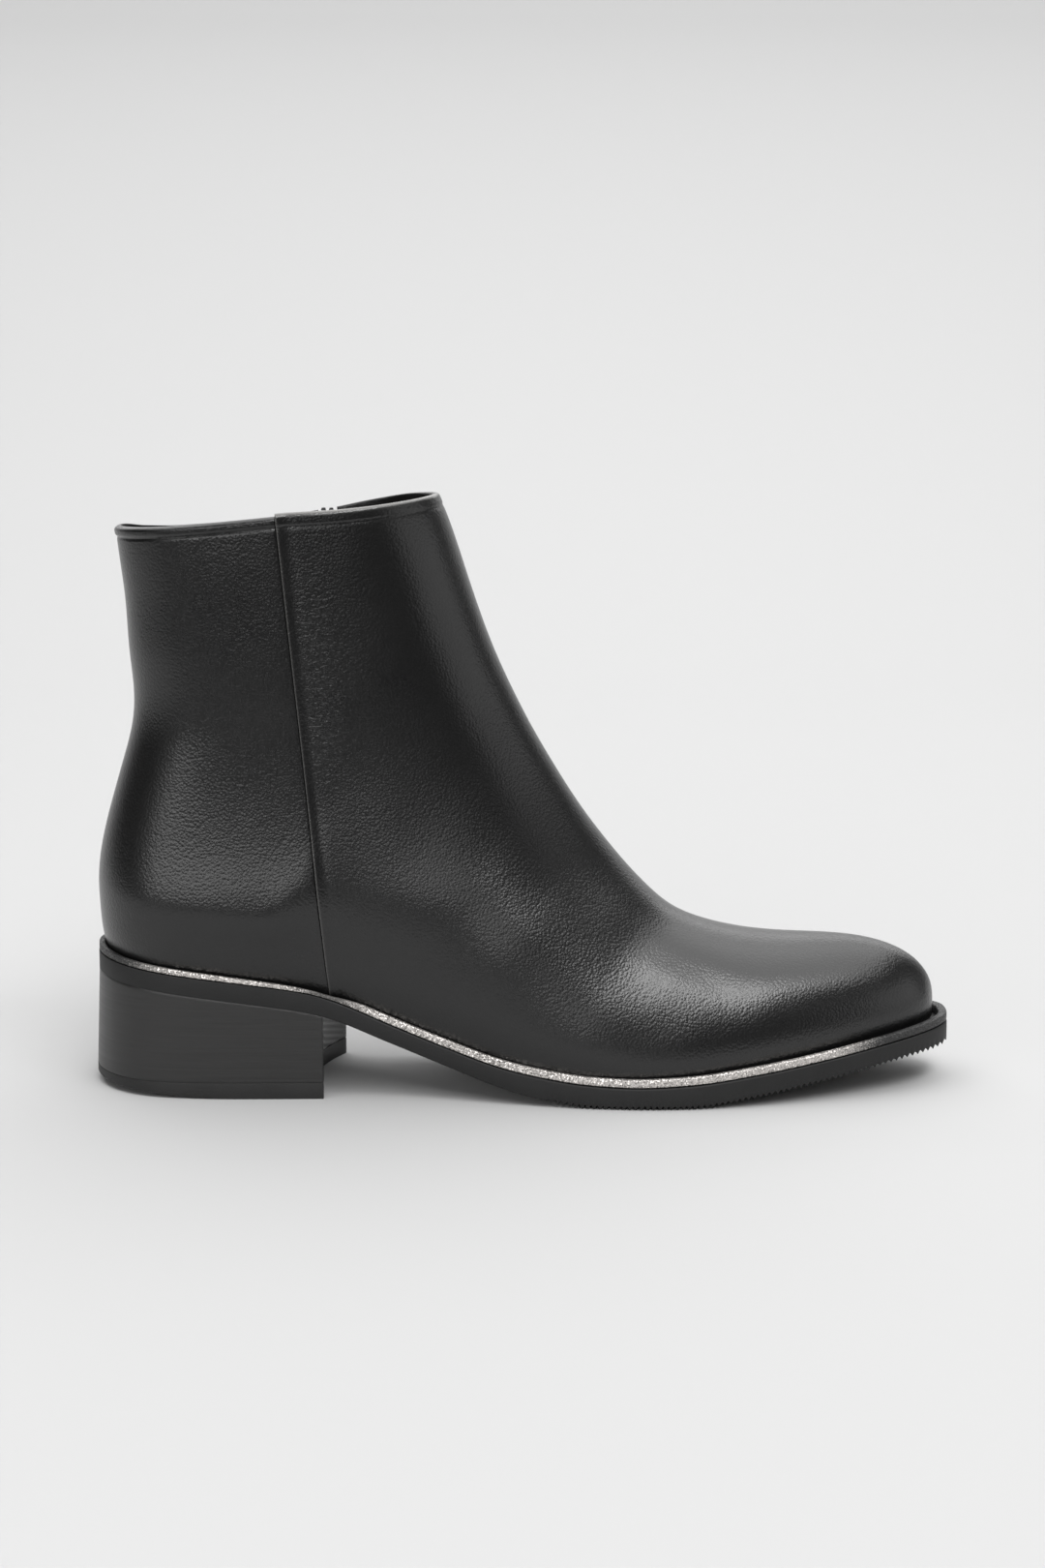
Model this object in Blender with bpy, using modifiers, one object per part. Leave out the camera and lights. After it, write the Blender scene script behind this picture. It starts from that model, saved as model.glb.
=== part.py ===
"""Right ankle boot on a low block heel, with a closed leather shaft, an inside zip and a beaded welt.

X runs from heel to toe, Y from the outer (lateral) side to the inner (medial) side, Z up from the floor.
Sizes are in millimetres and become metres where a mesh is made.
"""

import math

import bmesh
import bpy
import numpy as np
from mathutils import Matrix, Vector

MM = 0.001
LATERAL, MEDIAL = -1, 1


def table(columns, *rows):
    """Named columns of a short table, as arrays."""
    return dict(zip(columns.split(), np.array(rows, float).T))


# Driving sizes

GAP = 0.3               # between pieces that touch
WALL = 2.0              # leather and lining together
TOE_PLAN_X = 129.4      # where the toe's plan curve closes
HEEL_PLAN_X = -131.0
PIVOT_X, PIVOT_Z = 190.0, 205.0     # section planes fan out from this line in front of the instep

# Plan of the last's bottom: half width, and how far its middle lies towards the inner side
PLAN = table(
    "x half centre",
    (129.4, 0.0, 2.5), (124.0, 11.6, 2.2), (114.0, 19.4, 1.7), (98.0, 26.9, 1.0), (78.0, 33.6, 0.1),
    (57.0, 37.2, -1.4), (36.0, 37.0, -3.4), (15.0, 33.2, -5.2), (-10.0, 27.6, -5.4), (-35.0, 24.5, -3.9),
    (-60.0, 25.2, -2.4), (-85.0, 27.0, -1.1), (-105.0, 28.0, -0.4), (-131.0, 28.2, 0.0),
)

# Front line of the last from the toe over vamp and instep to the collar, and how deep the round behind it is
FRONT = table(
    "x z rounding",
    (128.8, 17.6, 2.0), (129.3, 23.5, 6.0), (128.3, 29.8, 11.0), (124.2, 35.8, 17.0), (117.8, 40.1, 22.0),
    (108.0, 43.2, 26.5), (95.0, 44.7, 30.5), (80.0, 45.5, 33.5), (68.0, 46.9, 36.0), (57.0, 49.6, 38.0),
    (47.0, 53.9, 40.0), (38.0, 61.5, 42.0), (29.8, 70.4, 44.0), (20.3, 82.6, 46.0), (5.0, 107.2, 47.5),
    (-7.2, 131.4, 47.0), (-16.0, 155.3, 45.5), (-23.4, 177.3, 44.0), (-25.9, 183.0, 44.0),
)

# Back line from the heel seat up to the collar
BACK = table(
    "z x rounding",
    (40.0, -129.3, 32.0), (46.0, -130.8, 32.0), (55.0, -131.8, 33.0), (65.0, -132.0, 34.0),
    (77.0, -130.2, 35.0), (90.0, -126.7, 36.0), (102.0, -123.2, 37.0), (112.0, -120.7, 38.0),
    (121.0, -120.0, 38.0), (135.0, -121.1, 38.0), (150.0, -121.9, 39.0), (162.0, -123.2, 40.0),
    (173.0, -124.4, 41.0),
)

# Half width of heel, ankle and leg
LEG = table(
    "z half",
    (35.0, 30.8), (54.0, 33.0), (62.0, 32.5), (72.0, 31.0), (84.0, 29.7), (100.0, 28.9), (125.0, 29.4),
    (150.0, 30.3), (185.0, 31.2),
)

# Top and bottom of the outsole along the boot: heel seat, waist, flat tread at the ball and toe spring
SOLE = table(
    "x top bottom",
    (-134.0, 41.2, 35.6), (-115.0, 39.2, 33.6), (-85.0, 35.6, 29.9), (-66.0, 32.8, 27.0),
    (-58.0, 30.6, 24.8), (-41.0, 23.4, 17.8), (-23.5, 16.6, 11.0), (-6.0, 11.0, 4.9), (5.5, 8.8, 2.2),
    (20.0, 7.1, 0.0), (34.0, 6.6, 0.0), (50.0, 7.2, 0.0), (70.0, 9.4, 2.4), (94.0, 12.7, 6.3),
    (120.0, 16.4, 10.3), (134.0, 17.8, 11.2),
)

# Welt bead: height, and width across
BEAD = table(
    "x height width",
    (-134.0, 2.9, 2.0), (-118.0, 1.9, 1.7), (-75.0, 1.4, 1.5), (-60.0, 1.0, 1.3), (-46.0, 2.4, 1.9),
    (0.0, 2.5, 1.9), (100.0, 2.5, 2.4), (134.0, 2.7, 2.8),
)
EDGE_HEEL, EDGE_TOE, EDGE_TOE_X = 2.9, 4.9, 128.0      # outsole edge beyond the upper, growing from x 0
BEAD_FROM_EDGE = 0.1

# Collar: a plane that climbs to the front, with both sides cut a little lower, the inner one more
COLLAR_BACK_Z, COLLAR_FRONT_Z = 173.0, 183.0
COLLAR_OUTER_DIP = 0.7
COLLAR_INNER = table(
    "share dip",
    (0.0, 0.0), (0.06, 2.0), (0.18, 3.7), (0.4, 4.4), (0.62, 3.5), (0.8, 1.5), (0.92, 0.3), (1.0, 0.0),
)
ROLL_HEIGHT, ROLL_PROUD = 3.3, 0.7

# Side seam on the outer side, zip on the inner side
SEAM_FOOT_X, SEAM_TOP_X, SEAM_STEP, SEAM_FADE = -58.7, -73.3, 0.5, 6.0
SEAM_HALF = 0.4
ZIP_FOOT_X, ZIP_TOP_X, ZIP_SLOT_HALF = -56.0, -61.5, 3.0
ZIP_RISE = 30.0         # end of the slot above the sole

# Skin of the upper
BLEND_RISE, BLEND_TOE_X, BLEND_TOE_GROWTH = 70.0, 20.0, 0.03       # foot widths give way to leg widths
BLEND_HEEL, BLEND_HEEL_X, BLEND_HEEL_LENGTH = 46.0, -45.0, 35.0     # sooner behind the seam
BULGE, BULGE_RISE = 1.3, 9.0
WAIST_SWELL, WAIST_RISE, WAIST_X, WAIST_LENGTH = 3.5, 24.0, -18.0, 48.0     # outer side below the ankle

# Grid of the upper
QUARTER_COLUMNS, VAMP_COLUMNS, UPPER_ROWS = 10, 15, 26
ROW_CROWDING = 1.25     # rows are closer near the sole
ROLL_STEP_SHARE = 0.005     # of the height, for the step under the rolled rim
LINE_SAMPLES = 2000
SLOPE_STEP = 0.2        # for the skin's normals
LEAST_ROUNDING = 0.1

INSOLE_THICK = 2.0
EDGE_POINTS = 44        # along each side of a sole
ACROSS = 4              # strips across a sole
BEAD_POINTS, BEAD_SIDES = 50, 8
SOLE_BEVEL = 0.6

# Meshes: degrees past which an edge is sharp or is rounded, and how near points are joined
SHARP_ANGLE, BEVEL_ANGLE = 40.0, 50.0
MERGE, SLIVER = 0.01, 0.005
# Heel and top lift
BREAST_OUTER_X, BREAST_INNER_X, BREAST_SAG = -60.3, -56.7, 6.5
BREAST_POWER = 4        # how late along the heel the hollow of the breast begins
HEEL_FLARE, FLARE_X, FLARE_LENGTH = 1.2, -100.0, 34.0
LIFT_THICK = 5.0
LIFT_BEVEL_X, LIFT_BEVEL_RISE, LIFT_BEVEL_POWER = -88.0, 2.6, 1.2
HEEL_ROWS, HEEL_ACROSS, HEEL_LOOP_POINTS = 18, 8, 400

# Zip
TAPE_HALF, TAPE_THICK, TAPE_FOOT = 9.0, 0.7, 6.0       # the foot reaches below the slot
TAPE_MIDDLE, TAPE_GAP = 6.0, 1.0       # a column between chain and edge, and the gap to the wall
CHAIN_HALF, CHAIN_SUNK, CHAIN_FOOT = 2.3, 0.1, 1.5      # the chain starts above the slot's end
CHAIN_SHOULDER, CHAIN_RAMP = 0.3, 0.8
FOOT_ROWS, ZIP_ROWS = 5, 24
STOP_RISE = 0.8         # chain ends stand above the collar
TAPE_DROP = 2.0         # tape stops below it
SLIDER_BELOW_COLLAR = 12.0
SLIDER_WIDE, SLIDER_TALL, SLIDER_THICK = 7.6, 10.0, 2.2
LUG_THICK, LUG_TALL, LUG_OUT, LUG_SUNK = 1.0, 3.6, 3.0, 0.6
PIN_RADIUS, PIN_OUT = 0.6, 1.7
PULL_WIDE, PULL_LONG, PULL_THICK = 4.6, 22.0, 1.2
PULL_BLADE_SHARE = 0.62     # the wider end of the tab
PULL_NECK = 0.2             # the tab starts this far below the eye's hole
PULL_EYE_OUTER, PULL_EYE_INNER, PULL_EYE_WIDE = 1.35, 0.85, 3.6

LEATHER_BLACK = ((0.018, 0.018, 0.019), 0.42, 0.0)
SOLE_BLACK = ((0.030, 0.030, 0.031), 0.55, 0.0)
HEEL_BLACK = ((0.036, 0.035, 0.034), 0.50, 0.0)
BEAD_SILVER = ((0.62, 0.59, 0.56), 0.32, 1.0)
LINING_DARK = ((0.060, 0.058, 0.056), 0.80, 0.0)
ZIP_BLACK = ((0.020, 0.020, 0.022), 0.75, 0.0)
ZIP_METAL = ((0.45, 0.45, 0.46), 0.30, 1.0)


# Curves

def smooth_curve(knots, values, at):
    """Natural cubic spline: curvature runs on through every knot."""
    step = np.diff(knots)
    slope = np.diff(values) / step
    count = len(knots)
    system, load = np.eye(count), np.zeros(count)
    for i in range(1, count - 1):
        system[i, i - 1:i + 2] = step[i - 1], 2 * (step[i - 1] + step[i]), step[i]
        load[i] = 6 * (slope[i] - slope[i - 1])
    bend = np.linalg.solve(system, load)
    i = np.clip(np.searchsorted(knots, at) - 1, 0, count - 2)
    before, after = at - knots[i], knots[i + 1] - at
    return (
        (bend[i] * after**3 + bend[i + 1] * before**3) / (6 * step[i])
        + (values[i] / step[i] - bend[i] * step[i] / 6) * after
        + (values[i + 1] / step[i] - bend[i + 1] * step[i] / 6) * before
    )


def steady_curve(knots, values, at):
    """Cubic curve that never overshoots its knots, so a level stretch stays level."""
    step = np.diff(knots)
    slope = np.diff(values) / step
    product = slope[:-1] * slope[1:]
    tangent = np.concatenate([slope[:1], np.zeros(len(product)), slope[-1:]])
    climbing = product > 0
    tangent[1:-1][climbing] = 2 * product[climbing] / (slope[:-1] + slope[1:])[climbing]
    i = np.clip(np.searchsorted(knots, at) - 1, 0, len(knots) - 2)
    t = (at - knots[i]) / step[i]
    return (
        values[i] * (1 + 2 * t) * (1 - t) ** 2
        + values[i + 1] * t * t * (3 - 2 * t)
        + step[i] * t * (1 - t) * (tangent[i] * (1 - t) - tangent[i + 1] * t)
    )


def smooth_step(t):
    t = np.clip(t, 0, 1)
    return t * t * (3 - 2 * t)


def soft_round(t):
    """Grows like the edge of a circle, then levels off at one."""
    return np.sqrt(np.tanh(2 * np.maximum(t, 0)))


# Shape of the last

def sole_top(x):
    return steady_curve(SOLE["x"], SOLE["top"], np.asarray(x, float))


def sole_bottom(x):
    return steady_curve(SOLE["x"], SOLE["bottom"], np.asarray(x, float))


def feather_z(x):
    """Lower edge of the upper, resting on the outsole."""
    return sole_top(x) + GAP


def back_x(z):
    return smooth_curve(BACK["z"], BACK["x"], z)


def fan_angle(x, z):
    """Angle of the section plane through a side-view point: upright at the toe, level at the collar."""
    return np.arctan2(PIVOT_X - x, PIVOT_Z - z)


def run_length(x, z):
    """Length along a row of side-view points."""
    return np.concatenate([[0], np.cumsum(np.hypot(np.diff(x), np.diff(z)))])


FRONT["z"][0] = feather_z(FRONT["x"][0])
FRONT["run"] = run_length(FRONT["x"], FRONT["z"])
run_samples = np.linspace(0, FRONT["run"][-1], LINE_SAMPLES)
LINE = {name: smooth_curve(FRONT["run"], FRONT[name], run_samples) for name in ("x", "z", "rounding")}
LINE["run"] = run_length(LINE["x"], LINE["z"])
LINE["angle"] = fan_angle(LINE["x"], LINE["z"])
LINE["reach"] = np.hypot(PIVOT_X - LINE["x"], PIVOT_Z - LINE["z"])


def plan_curve(column, x):
    """Plan size at x, read along the square root of the distance to the toe so that the toe closes round."""
    length = TOE_PLAN_X - HEEL_PLAN_X
    knots = np.sqrt((TOE_PLAN_X - PLAN["x"]) / length)
    return smooth_curve(knots, PLAN[column], np.sqrt(np.clip((TOE_PLAN_X - x) / length, 0, None)))


def skin_y(x, z, side):
    """Outer skin of the upper at a side-view point: width of foot or leg, rounded off at front and back."""
    rise = np.maximum(z - sole_top(x), 0)
    sooner = BLEND_HEEL * smooth_step((BLEND_HEEL_X - x) / BLEND_HEEL_LENGTH)
    later = BLEND_TOE_GROWTH * np.maximum(x - BLEND_TOE_X, 0) ** 2
    leg_share = smooth_step(rise / (BLEND_RISE - sooner + later))
    swell = rise / BULGE_RISE * np.exp(1 - rise / BULGE_RISE)
    foot_half = plan_curve("half", x) + BULGE * swell**2
    half = foot_half + (smooth_curve(LEG["z"], LEG["half"], z) - foot_half) * leg_share
    if side == LATERAL:
        waist = rise / WAIST_RISE * np.exp(1 - rise / WAIST_RISE)
        half = half + WAIST_SWELL * waist**2 * np.exp(-(((x - WAIST_X) / WAIST_LENGTH) ** 2))
    angle = fan_angle(x, z)
    depth = np.hypot(PIVOT_X - x, PIVOT_Z - z) - np.interp(angle, LINE["angle"], LINE["reach"])
    rounding = np.maximum(np.interp(angle, LINE["angle"], LINE["rounding"]), LEAST_ROUNDING)
    front = soft_round(depth / rounding)
    back = soft_round((x - back_x(z)) / smooth_curve(BACK["z"], BACK["rounding"], z))
    return plan_curve("centre", x) * (1 - leg_share) + side * half * front * back


def skin_point(x, z, side, inwards=0.0):
    """Point on the skin, or below it by a depth along the normal, in millimetres."""
    step = SLOPE_STEP
    y = skin_y(x, z, side)
    along = (skin_y(x + step, z, side) - skin_y(x - step, z, side)) / (2 * step)
    up = (skin_y(x, z + step, side) - skin_y(x, z - step, side)) / (2 * step)
    normal = np.stack([-along * side, np.full_like(y, side), -up * side], -1)
    normal /= np.linalg.norm(normal, axis=-1, keepdims=True)
    return np.stack([x, y, z], -1) - normal * np.asarray(inwards)[..., None]


def collar_z(x, side):
    share = (x - back_x(COLLAR_BACK_Z)) / (FRONT["x"][-1] - back_x(COLLAR_BACK_Z))
    plane = COLLAR_BACK_Z + (COLLAR_FRONT_Z - COLLAR_BACK_Z) * share
    if side == MEDIAL:
        return plane - steady_curve(COLLAR_INNER["share"], COLLAR_INNER["dip"], share)
    return plane - COLLAR_OUTER_DIP * (1 - (2 * share - 1) ** 4)


# Grid of the upper

def back_line(v):
    """Back edge of the quarter for v from the sole (0) to the collar (1)."""
    foot_z = feather_z(back_x(BACK["z"][0] + GAP))
    z = foot_z + (COLLAR_BACK_Z - foot_z) * v
    return back_x(z), z


def front_line(v):
    """Front edge of the vamp for v from toe to collar, evenly along its length."""
    run = v * LINE["run"][-1]
    return np.interp(run, LINE["run"], LINE["x"]), np.interp(run, LINE["run"], LINE["z"])


def straight_line(foot_x, top_x, side):
    """A straight side-view line from sole to collar, as a function of v."""
    foot_z, top_z = feather_z(foot_x), collar_z(top_x, side)
    return lambda v: (foot_x + (top_x - foot_x) * v, foot_z + (top_z - foot_z) * v)


def panel(left, right, across, v, side):
    """Side-view grid between two edge lines, bent to follow the sole below and the collar above."""
    s, v = across[None, :], v[:, None]
    (x0, z0), (x1, z1) = left(v), right(v)
    (foot0_x, foot0_z), (foot1_x, foot1_z) = left(np.zeros(1)), right(np.zeros(1))
    (top0_x, top0_z), (top1_x, top1_z) = left(np.ones(1)), right(np.ones(1))
    foot_x, top_x = foot0_x + (foot1_x - foot0_x) * s, top0_x + (top1_x - top0_x) * s
    foot_bow = feather_z(foot_x) - (foot0_z + (foot1_z - foot0_z) * s)
    top_bow = collar_z(top_x, side) - (top0_z + (top1_z - top0_z) * s)
    return x0 + (x1 - x0) * s, z0 + (z1 - z0) * s + foot_bow * (1 - v) + top_bow * v


def upper_grid():
    """Rows of points up the boot; columns run from the back round the outer side to the front and back."""
    zip_line = straight_line(ZIP_FOOT_X, ZIP_TOP_X, MEDIAL)
    zip_end = ZIP_RISE / (zip_line(1.0)[1] - zip_line(0.0)[1])
    roll_start = 1 - ROLL_HEIGHT / (COLLAR_BACK_Z - feather_z(HEEL_PLAN_X))
    v = np.linspace(0, 1, UPPER_ROWS) ** ROW_CROWDING * (roll_start - ROLL_STEP_SHARE)
    v[np.argmin(abs(v - zip_end))] = zip_end
    v = np.concatenate([v, [roll_start, 1.0]])
    quarter = 1 - np.cos(np.linspace(0, math.pi / 2, QUARTER_COLUMNS + 1))
    vamp = np.sin(np.linspace(0, math.pi / 2, VAMP_COLUMNS + 1))
    sides = {}
    for side, foot_x, top_x, half in (
        (LATERAL, SEAM_FOOT_X, SEAM_TOP_X, SEAM_HALF),
        (MEDIAL, ZIP_FOOT_X, ZIP_TOP_X, ZIP_SLOT_HALF),
    ):
        rear = panel(back_line, straight_line(foot_x - half, top_x - half, side), quarter, v, side)
        fore = panel(straight_line(foot_x + half, top_x + half, side), front_line, vamp, v, side)
        x, z = np.concatenate([rear[0], fore[0]], 1), np.concatenate([rear[1], fore[1]], 1)
        sides[side] = np.stack([x, skin_y(x, z, side), z], -1)
    outer, inner = sides[LATERAL], sides[MEDIAL][:, -2:0:-1]
    points = np.concatenate([outer, inner], 1)
    proud = np.zeros(points.shape[:2])
    first_vamp = QUARTER_COLUMNS + 1
    ahead = outer[:, first_vamp:, 0] - outer[:, first_vamp:first_vamp + 1, 0]
    proud[:, first_vamp:outer.shape[1]] = SEAM_STEP * np.exp(-ahead / SEAM_FADE)
    proud[-2:, :first_vamp] = ROLL_PROUD
    proud[-2:, -QUARTER_COLUMNS:] = ROLL_PROUD
    along = np.roll(points, -1, 1) - np.roll(points, 1, 1)
    normal = np.cross(along, np.gradient(points, axis=0))
    normal /= np.linalg.norm(normal, axis=-1, keepdims=True)
    slot_column = outer.shape[1] + VAMP_COLUMNS - 1
    slot_row = int(np.argmin(abs(v - zip_end)))
    return points + normal * proud[..., None], slot_column, slot_row


# Edges of the sole in plan

def feather_loop(count):
    """Lower edge of the upper in plan: outer side from heel to toe, then inner side back to the heel."""
    foot_x, tip_x = back_line(np.zeros(1))[0], front_line(np.zeros(1))[0]
    x = (foot_x + tip_x) / 2 - (tip_x - foot_x) / 2 * np.cos(np.linspace(0, math.pi, count))
    outer = np.stack([x, skin_y(x, feather_z(x), LATERAL)], -1)
    inner = np.stack([x, skin_y(x, feather_z(x), MEDIAL)], -1)
    return np.concatenate([outer, inner[-2:0:-1]])


def grown_loop(loop, amount):
    """A closed plan loop moved outwards along its normals."""
    along = np.roll(loop, -1, 0) - np.roll(loop, 1, 0)
    normal = np.stack([along[:, 1], -along[:, 0]], -1)
    normal /= np.linalg.norm(normal, axis=1, keepdims=True)
    return loop + normal * np.asarray(amount)[..., None]


def edge_overhang(x):
    """How far the outsole stands out from the upper."""
    return EDGE_HEEL + (EDGE_TOE - EDGE_HEEL) * smooth_step(x / EDGE_TOE_X)


def loop_sides(loop):
    """Outer and inner side of a loop, both from heel to toe."""
    half = len(loop) // 2
    return loop[:half + 1], np.concatenate([loop[:1], loop[:half - 1:-1]])


# Meshes

def new_object(name, mesh, finish):
    colour, roughness, metallic = finish
    material = bpy.data.materials.new(name)
    material.use_nodes = True
    shader = material.node_tree.nodes["Principled BSDF"]
    shader.inputs["Base Color"].default_value = (*colour, 1.0)
    shader.inputs["Roughness"].default_value = roughness
    shader.inputs["Metallic"].default_value = metallic
    mesh.materials.append(material)
    mesh.shade_smooth()
    mesh.set_sharp_from_angle(angle=math.radians(SHARP_ANGLE))
    obj = bpy.data.objects.new(name, mesh)
    parts.objects.link(obj)
    obj.parent = root
    return obj


def mesh_of(name, points, faces):
    """Mesh in metres, with points that fall together joined."""
    mesh = bpy.data.meshes.new(name)
    mesh.from_pydata((np.asarray(points) * MM).tolist(), [], faces)
    work = bmesh.new()
    work.from_mesh(mesh)
    bmesh.ops.remove_doubles(work, verts=work.verts, dist=MERGE * MM)
    bmesh.ops.dissolve_degenerate(work, edges=work.edges, dist=SLIVER * MM)
    work.to_mesh(mesh)
    work.free()
    return mesh


def outwards(mesh):
    """Turns the faces of a closed mesh to point out."""
    work = bmesh.new()
    work.from_mesh(mesh)
    bmesh.ops.recalc_face_normals(work, faces=work.faces)
    work.to_mesh(mesh)
    work.free()
    return mesh


def grid_faces(rows, columns, first=0, closed=False):
    """Four-sided faces of a grid whose points are numbered row by row."""
    last = columns if closed else columns - 1
    return [
        (
            first + r * columns + c,
            first + r * columns + (c + 1) % columns,
            first + (r + 1) * columns + (c + 1) % columns,
            first + (r + 1) * columns + c,
        )
        for r in range(rows - 1)
        for c in range(last)
    ]


def solid_between(name, upper, lower):
    """Closed solid between two grids of the same size, one above or outside the other."""
    rows, columns = upper.shape[:2]
    count = rows * columns
    faces = grid_faces(rows, columns) + [f[::-1] for f in grid_faces(rows, columns, count)]
    rim = (
        [r * columns for r in range(rows)]
        + [(rows - 1) * columns + c for c in range(1, columns)]
        + [r * columns + columns - 1 for r in range(rows - 2, -1, -1)]
        + list(range(columns - 2, 0, -1))
    )
    faces += [(a, b, b + count, a + count) for a, b in zip(rim, rim[1:] + rim[:1])]
    points = np.concatenate([upper.reshape(-1, 3), lower.reshape(-1, 3)])
    return outwards(mesh_of(name, points, faces))


def strips(outer, inner, across=ACROSS):
    """Plan grid of points between the two sides of a sole."""
    share = np.linspace(0, 1, across + 1)[None, :, None]
    return outer[:, None] * (1 - share) + inner[:, None] * share


def at_height(plan, z):
    return np.concatenate([plan, np.broadcast_to(z, plan.shape[:2])[..., None]], -1)


def bevelled(obj, width, segments=2):
    bevel = obj.modifiers.new("rounded edges", "BEVEL")
    bevel.width = width * MM
    bevel.segments = segments
    bevel.limit_method = "ANGLE"
    bevel.angle_limit = math.radians(BEVEL_ANGLE)
    return obj


# Upper: one hollow wall, open at collar and sole, with a slot for the zip

def make_upper():
    points, slot_column, slot_row = upper_grid()
    rows, columns = points.shape[:2]
    faces = [
        face
        for i, face in enumerate(grid_faces(rows, columns, closed=True))
        if i % columns != slot_column or i // columns < slot_row
    ]
    upper = new_object("upper", mesh_of("upper", points.reshape(-1, 3), faces), LEATHER_BLACK)
    wall = upper.modifiers.new("wall", "SOLIDIFY")
    wall.thickness = WALL * MM
    wall.offset = -1
    wall.use_even_offset = True
    return upper


# Sole: insole, outsole and welt bead

def make_insole():
    loop = grown_loop(feather_loop(EDGE_POINTS), np.full(2 * EDGE_POINTS - 2, -WALL - 2 * GAP))
    plan = strips(*loop_sides(loop))
    low = sole_top(plan[..., 0]) + GAP
    mesh = solid_between("insole", at_height(plan, low + INSOLE_THICK), at_height(plan, low))
    return new_object("insole", mesh, LINING_DARK)


def outsole_loop(count):
    loop = feather_loop(count)
    return grown_loop(loop, edge_overhang(loop[:, 0]))


def make_outsole():
    plan = strips(*loop_sides(outsole_loop(EDGE_POINTS)))
    top, bottom = sole_top(plan[..., 0]), sole_bottom(plan[..., 0])
    mesh = solid_between("outsole", at_height(plan, top), at_height(plan, bottom))
    return bevelled(new_object("outsole", mesh, SOLE_BLACK), SOLE_BEVEL)


def make_bead():
    """Piping round the joint of upper and sole, flush with the outsole's edge."""
    loop = feather_loop(BEAD_POINTS)
    height = steady_curve(BEAD["x"], BEAD["height"], loop[:, 0])
    width = steady_curve(BEAD["x"], BEAD["width"], loop[:, 0])
    out = edge_overhang(loop[:, 0]) - BEAD_FROM_EDGE - width / 2
    out = np.maximum(out, GAP + width / 2)
    turn = np.linspace(0, 2 * math.pi, BEAD_SIDES, endpoint=False) + math.pi / BEAD_SIDES
    ring = []
    for angle in turn:
        plan = grown_loop(loop, out + width / 2 * math.cos(angle))
        z = sole_top(plan[:, 0]) + GAP + height / 2 * (1 + math.sin(angle))
        ring.append(np.column_stack([plan, z]))
    ring = np.stack(ring)
    points, around = ring.reshape(-1, 3), ring.shape[1]
    faces = grid_faces(len(turn) + 1, around, closed=True)
    faces = [tuple(i % len(points) for i in face) for face in faces]
    return new_object("welt_bead", outwards(mesh_of("welt_bead", points, faces)), BEAD_SILVER)


# Heel: stacked block and top lift

def heel_plan(flare):
    """Plan grid under the heel seat, with a hollow breast."""
    loop = outsole_loop(HEEL_LOOP_POINTS)
    loop = grown_loop(loop, flare * smooth_step((FLARE_X - loop[:, 0]) / FLARE_LENGTH))
    sides = []
    for edge, corner_x in zip(loop_sides(loop), (BREAST_OUTER_X, BREAST_INNER_X)):
        start = edge[0, 0]
        x = start + (corner_x - start) * (1 - np.cos(np.linspace(0, math.pi / 2, HEEL_ROWS)))
        sides.append(np.stack([x, np.interp(x, edge[:, 0], edge[:, 1])], -1))
    plan = strips(*sides, across=HEEL_ACROSS)
    row = np.linspace(0, 1, HEEL_ROWS)[:, None] ** BREAST_POWER
    column = np.linspace(-1, 1, HEEL_ACROSS + 1)[None, :]
    plan[..., 0] -= BREAST_SAG * row * (1 - column**2)
    return plan


def make_heel():
    top, bottom = heel_plan(0.0), heel_plan(HEEL_FLARE)
    upper = at_height(top, sole_bottom(top[..., 0]) - GAP)
    mesh = solid_between("heel_block", upper, at_height(bottom, LIFT_THICK + GAP))
    return new_object("heel_block", mesh, HEEL_BLACK)


def make_top_lift():
    plan = heel_plan(HEEL_FLARE)
    behind = np.maximum((LIFT_BEVEL_X - plan[..., 0]) / (LIFT_BEVEL_X - plan[0, 0, 0]), 0)
    rise = LIFT_BEVEL_RISE * behind**LIFT_BEVEL_POWER
    mesh = solid_between("top_lift", at_height(plan, LIFT_THICK), at_height(plan, rise))
    return new_object("top_lift", mesh, SOLE_BLACK)


# Zip: tape with its chain, slider and pull

def make_zip_tape():
    line = straight_line(ZIP_FOOT_X, ZIP_TOP_X, MEDIAL)
    span = line(1.0)[1] - line(0.0)[1]
    shoulder = CHAIN_HALF + CHAIN_SHOULDER
    half = np.array([CHAIN_HALF, shoulder, TAPE_MIDDLE, TAPE_HALF])
    across = np.concatenate([-half[::-1], half])
    on_chain = abs(across) <= CHAIN_HALF
    foot = (ZIP_RISE - TAPE_FOOT) / span
    top = np.where(on_chain, 1 + STOP_RISE / span, 1 - TAPE_DROP / span)
    start, ramp = (ZIP_RISE + CHAIN_FOOT) / span, CHAIN_RAMP / span
    below = np.broadcast_to(np.linspace(foot, start, FOOT_ROWS)[:, None], (FOOT_ROWS, len(across)))
    above = start + ramp + (top - start - ramp) * np.linspace(0, 1, ZIP_ROWS)[:, None]
    v = np.concatenate([below, above])
    tape_outer = WALL + TAPE_GAP
    depth = np.where(on_chain & (v > start), CHAIN_SUNK, tape_outer)
    x, z = line(v)
    outer = skin_point(x + across, z, MEDIAL, depth)
    inner = skin_point(x + across, z, MEDIAL, np.full_like(x, tape_outer + TAPE_THICK))
    return new_object("zip_tape", solid_between("zip_tape", outer, inner), ZIP_BLACK)


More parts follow.
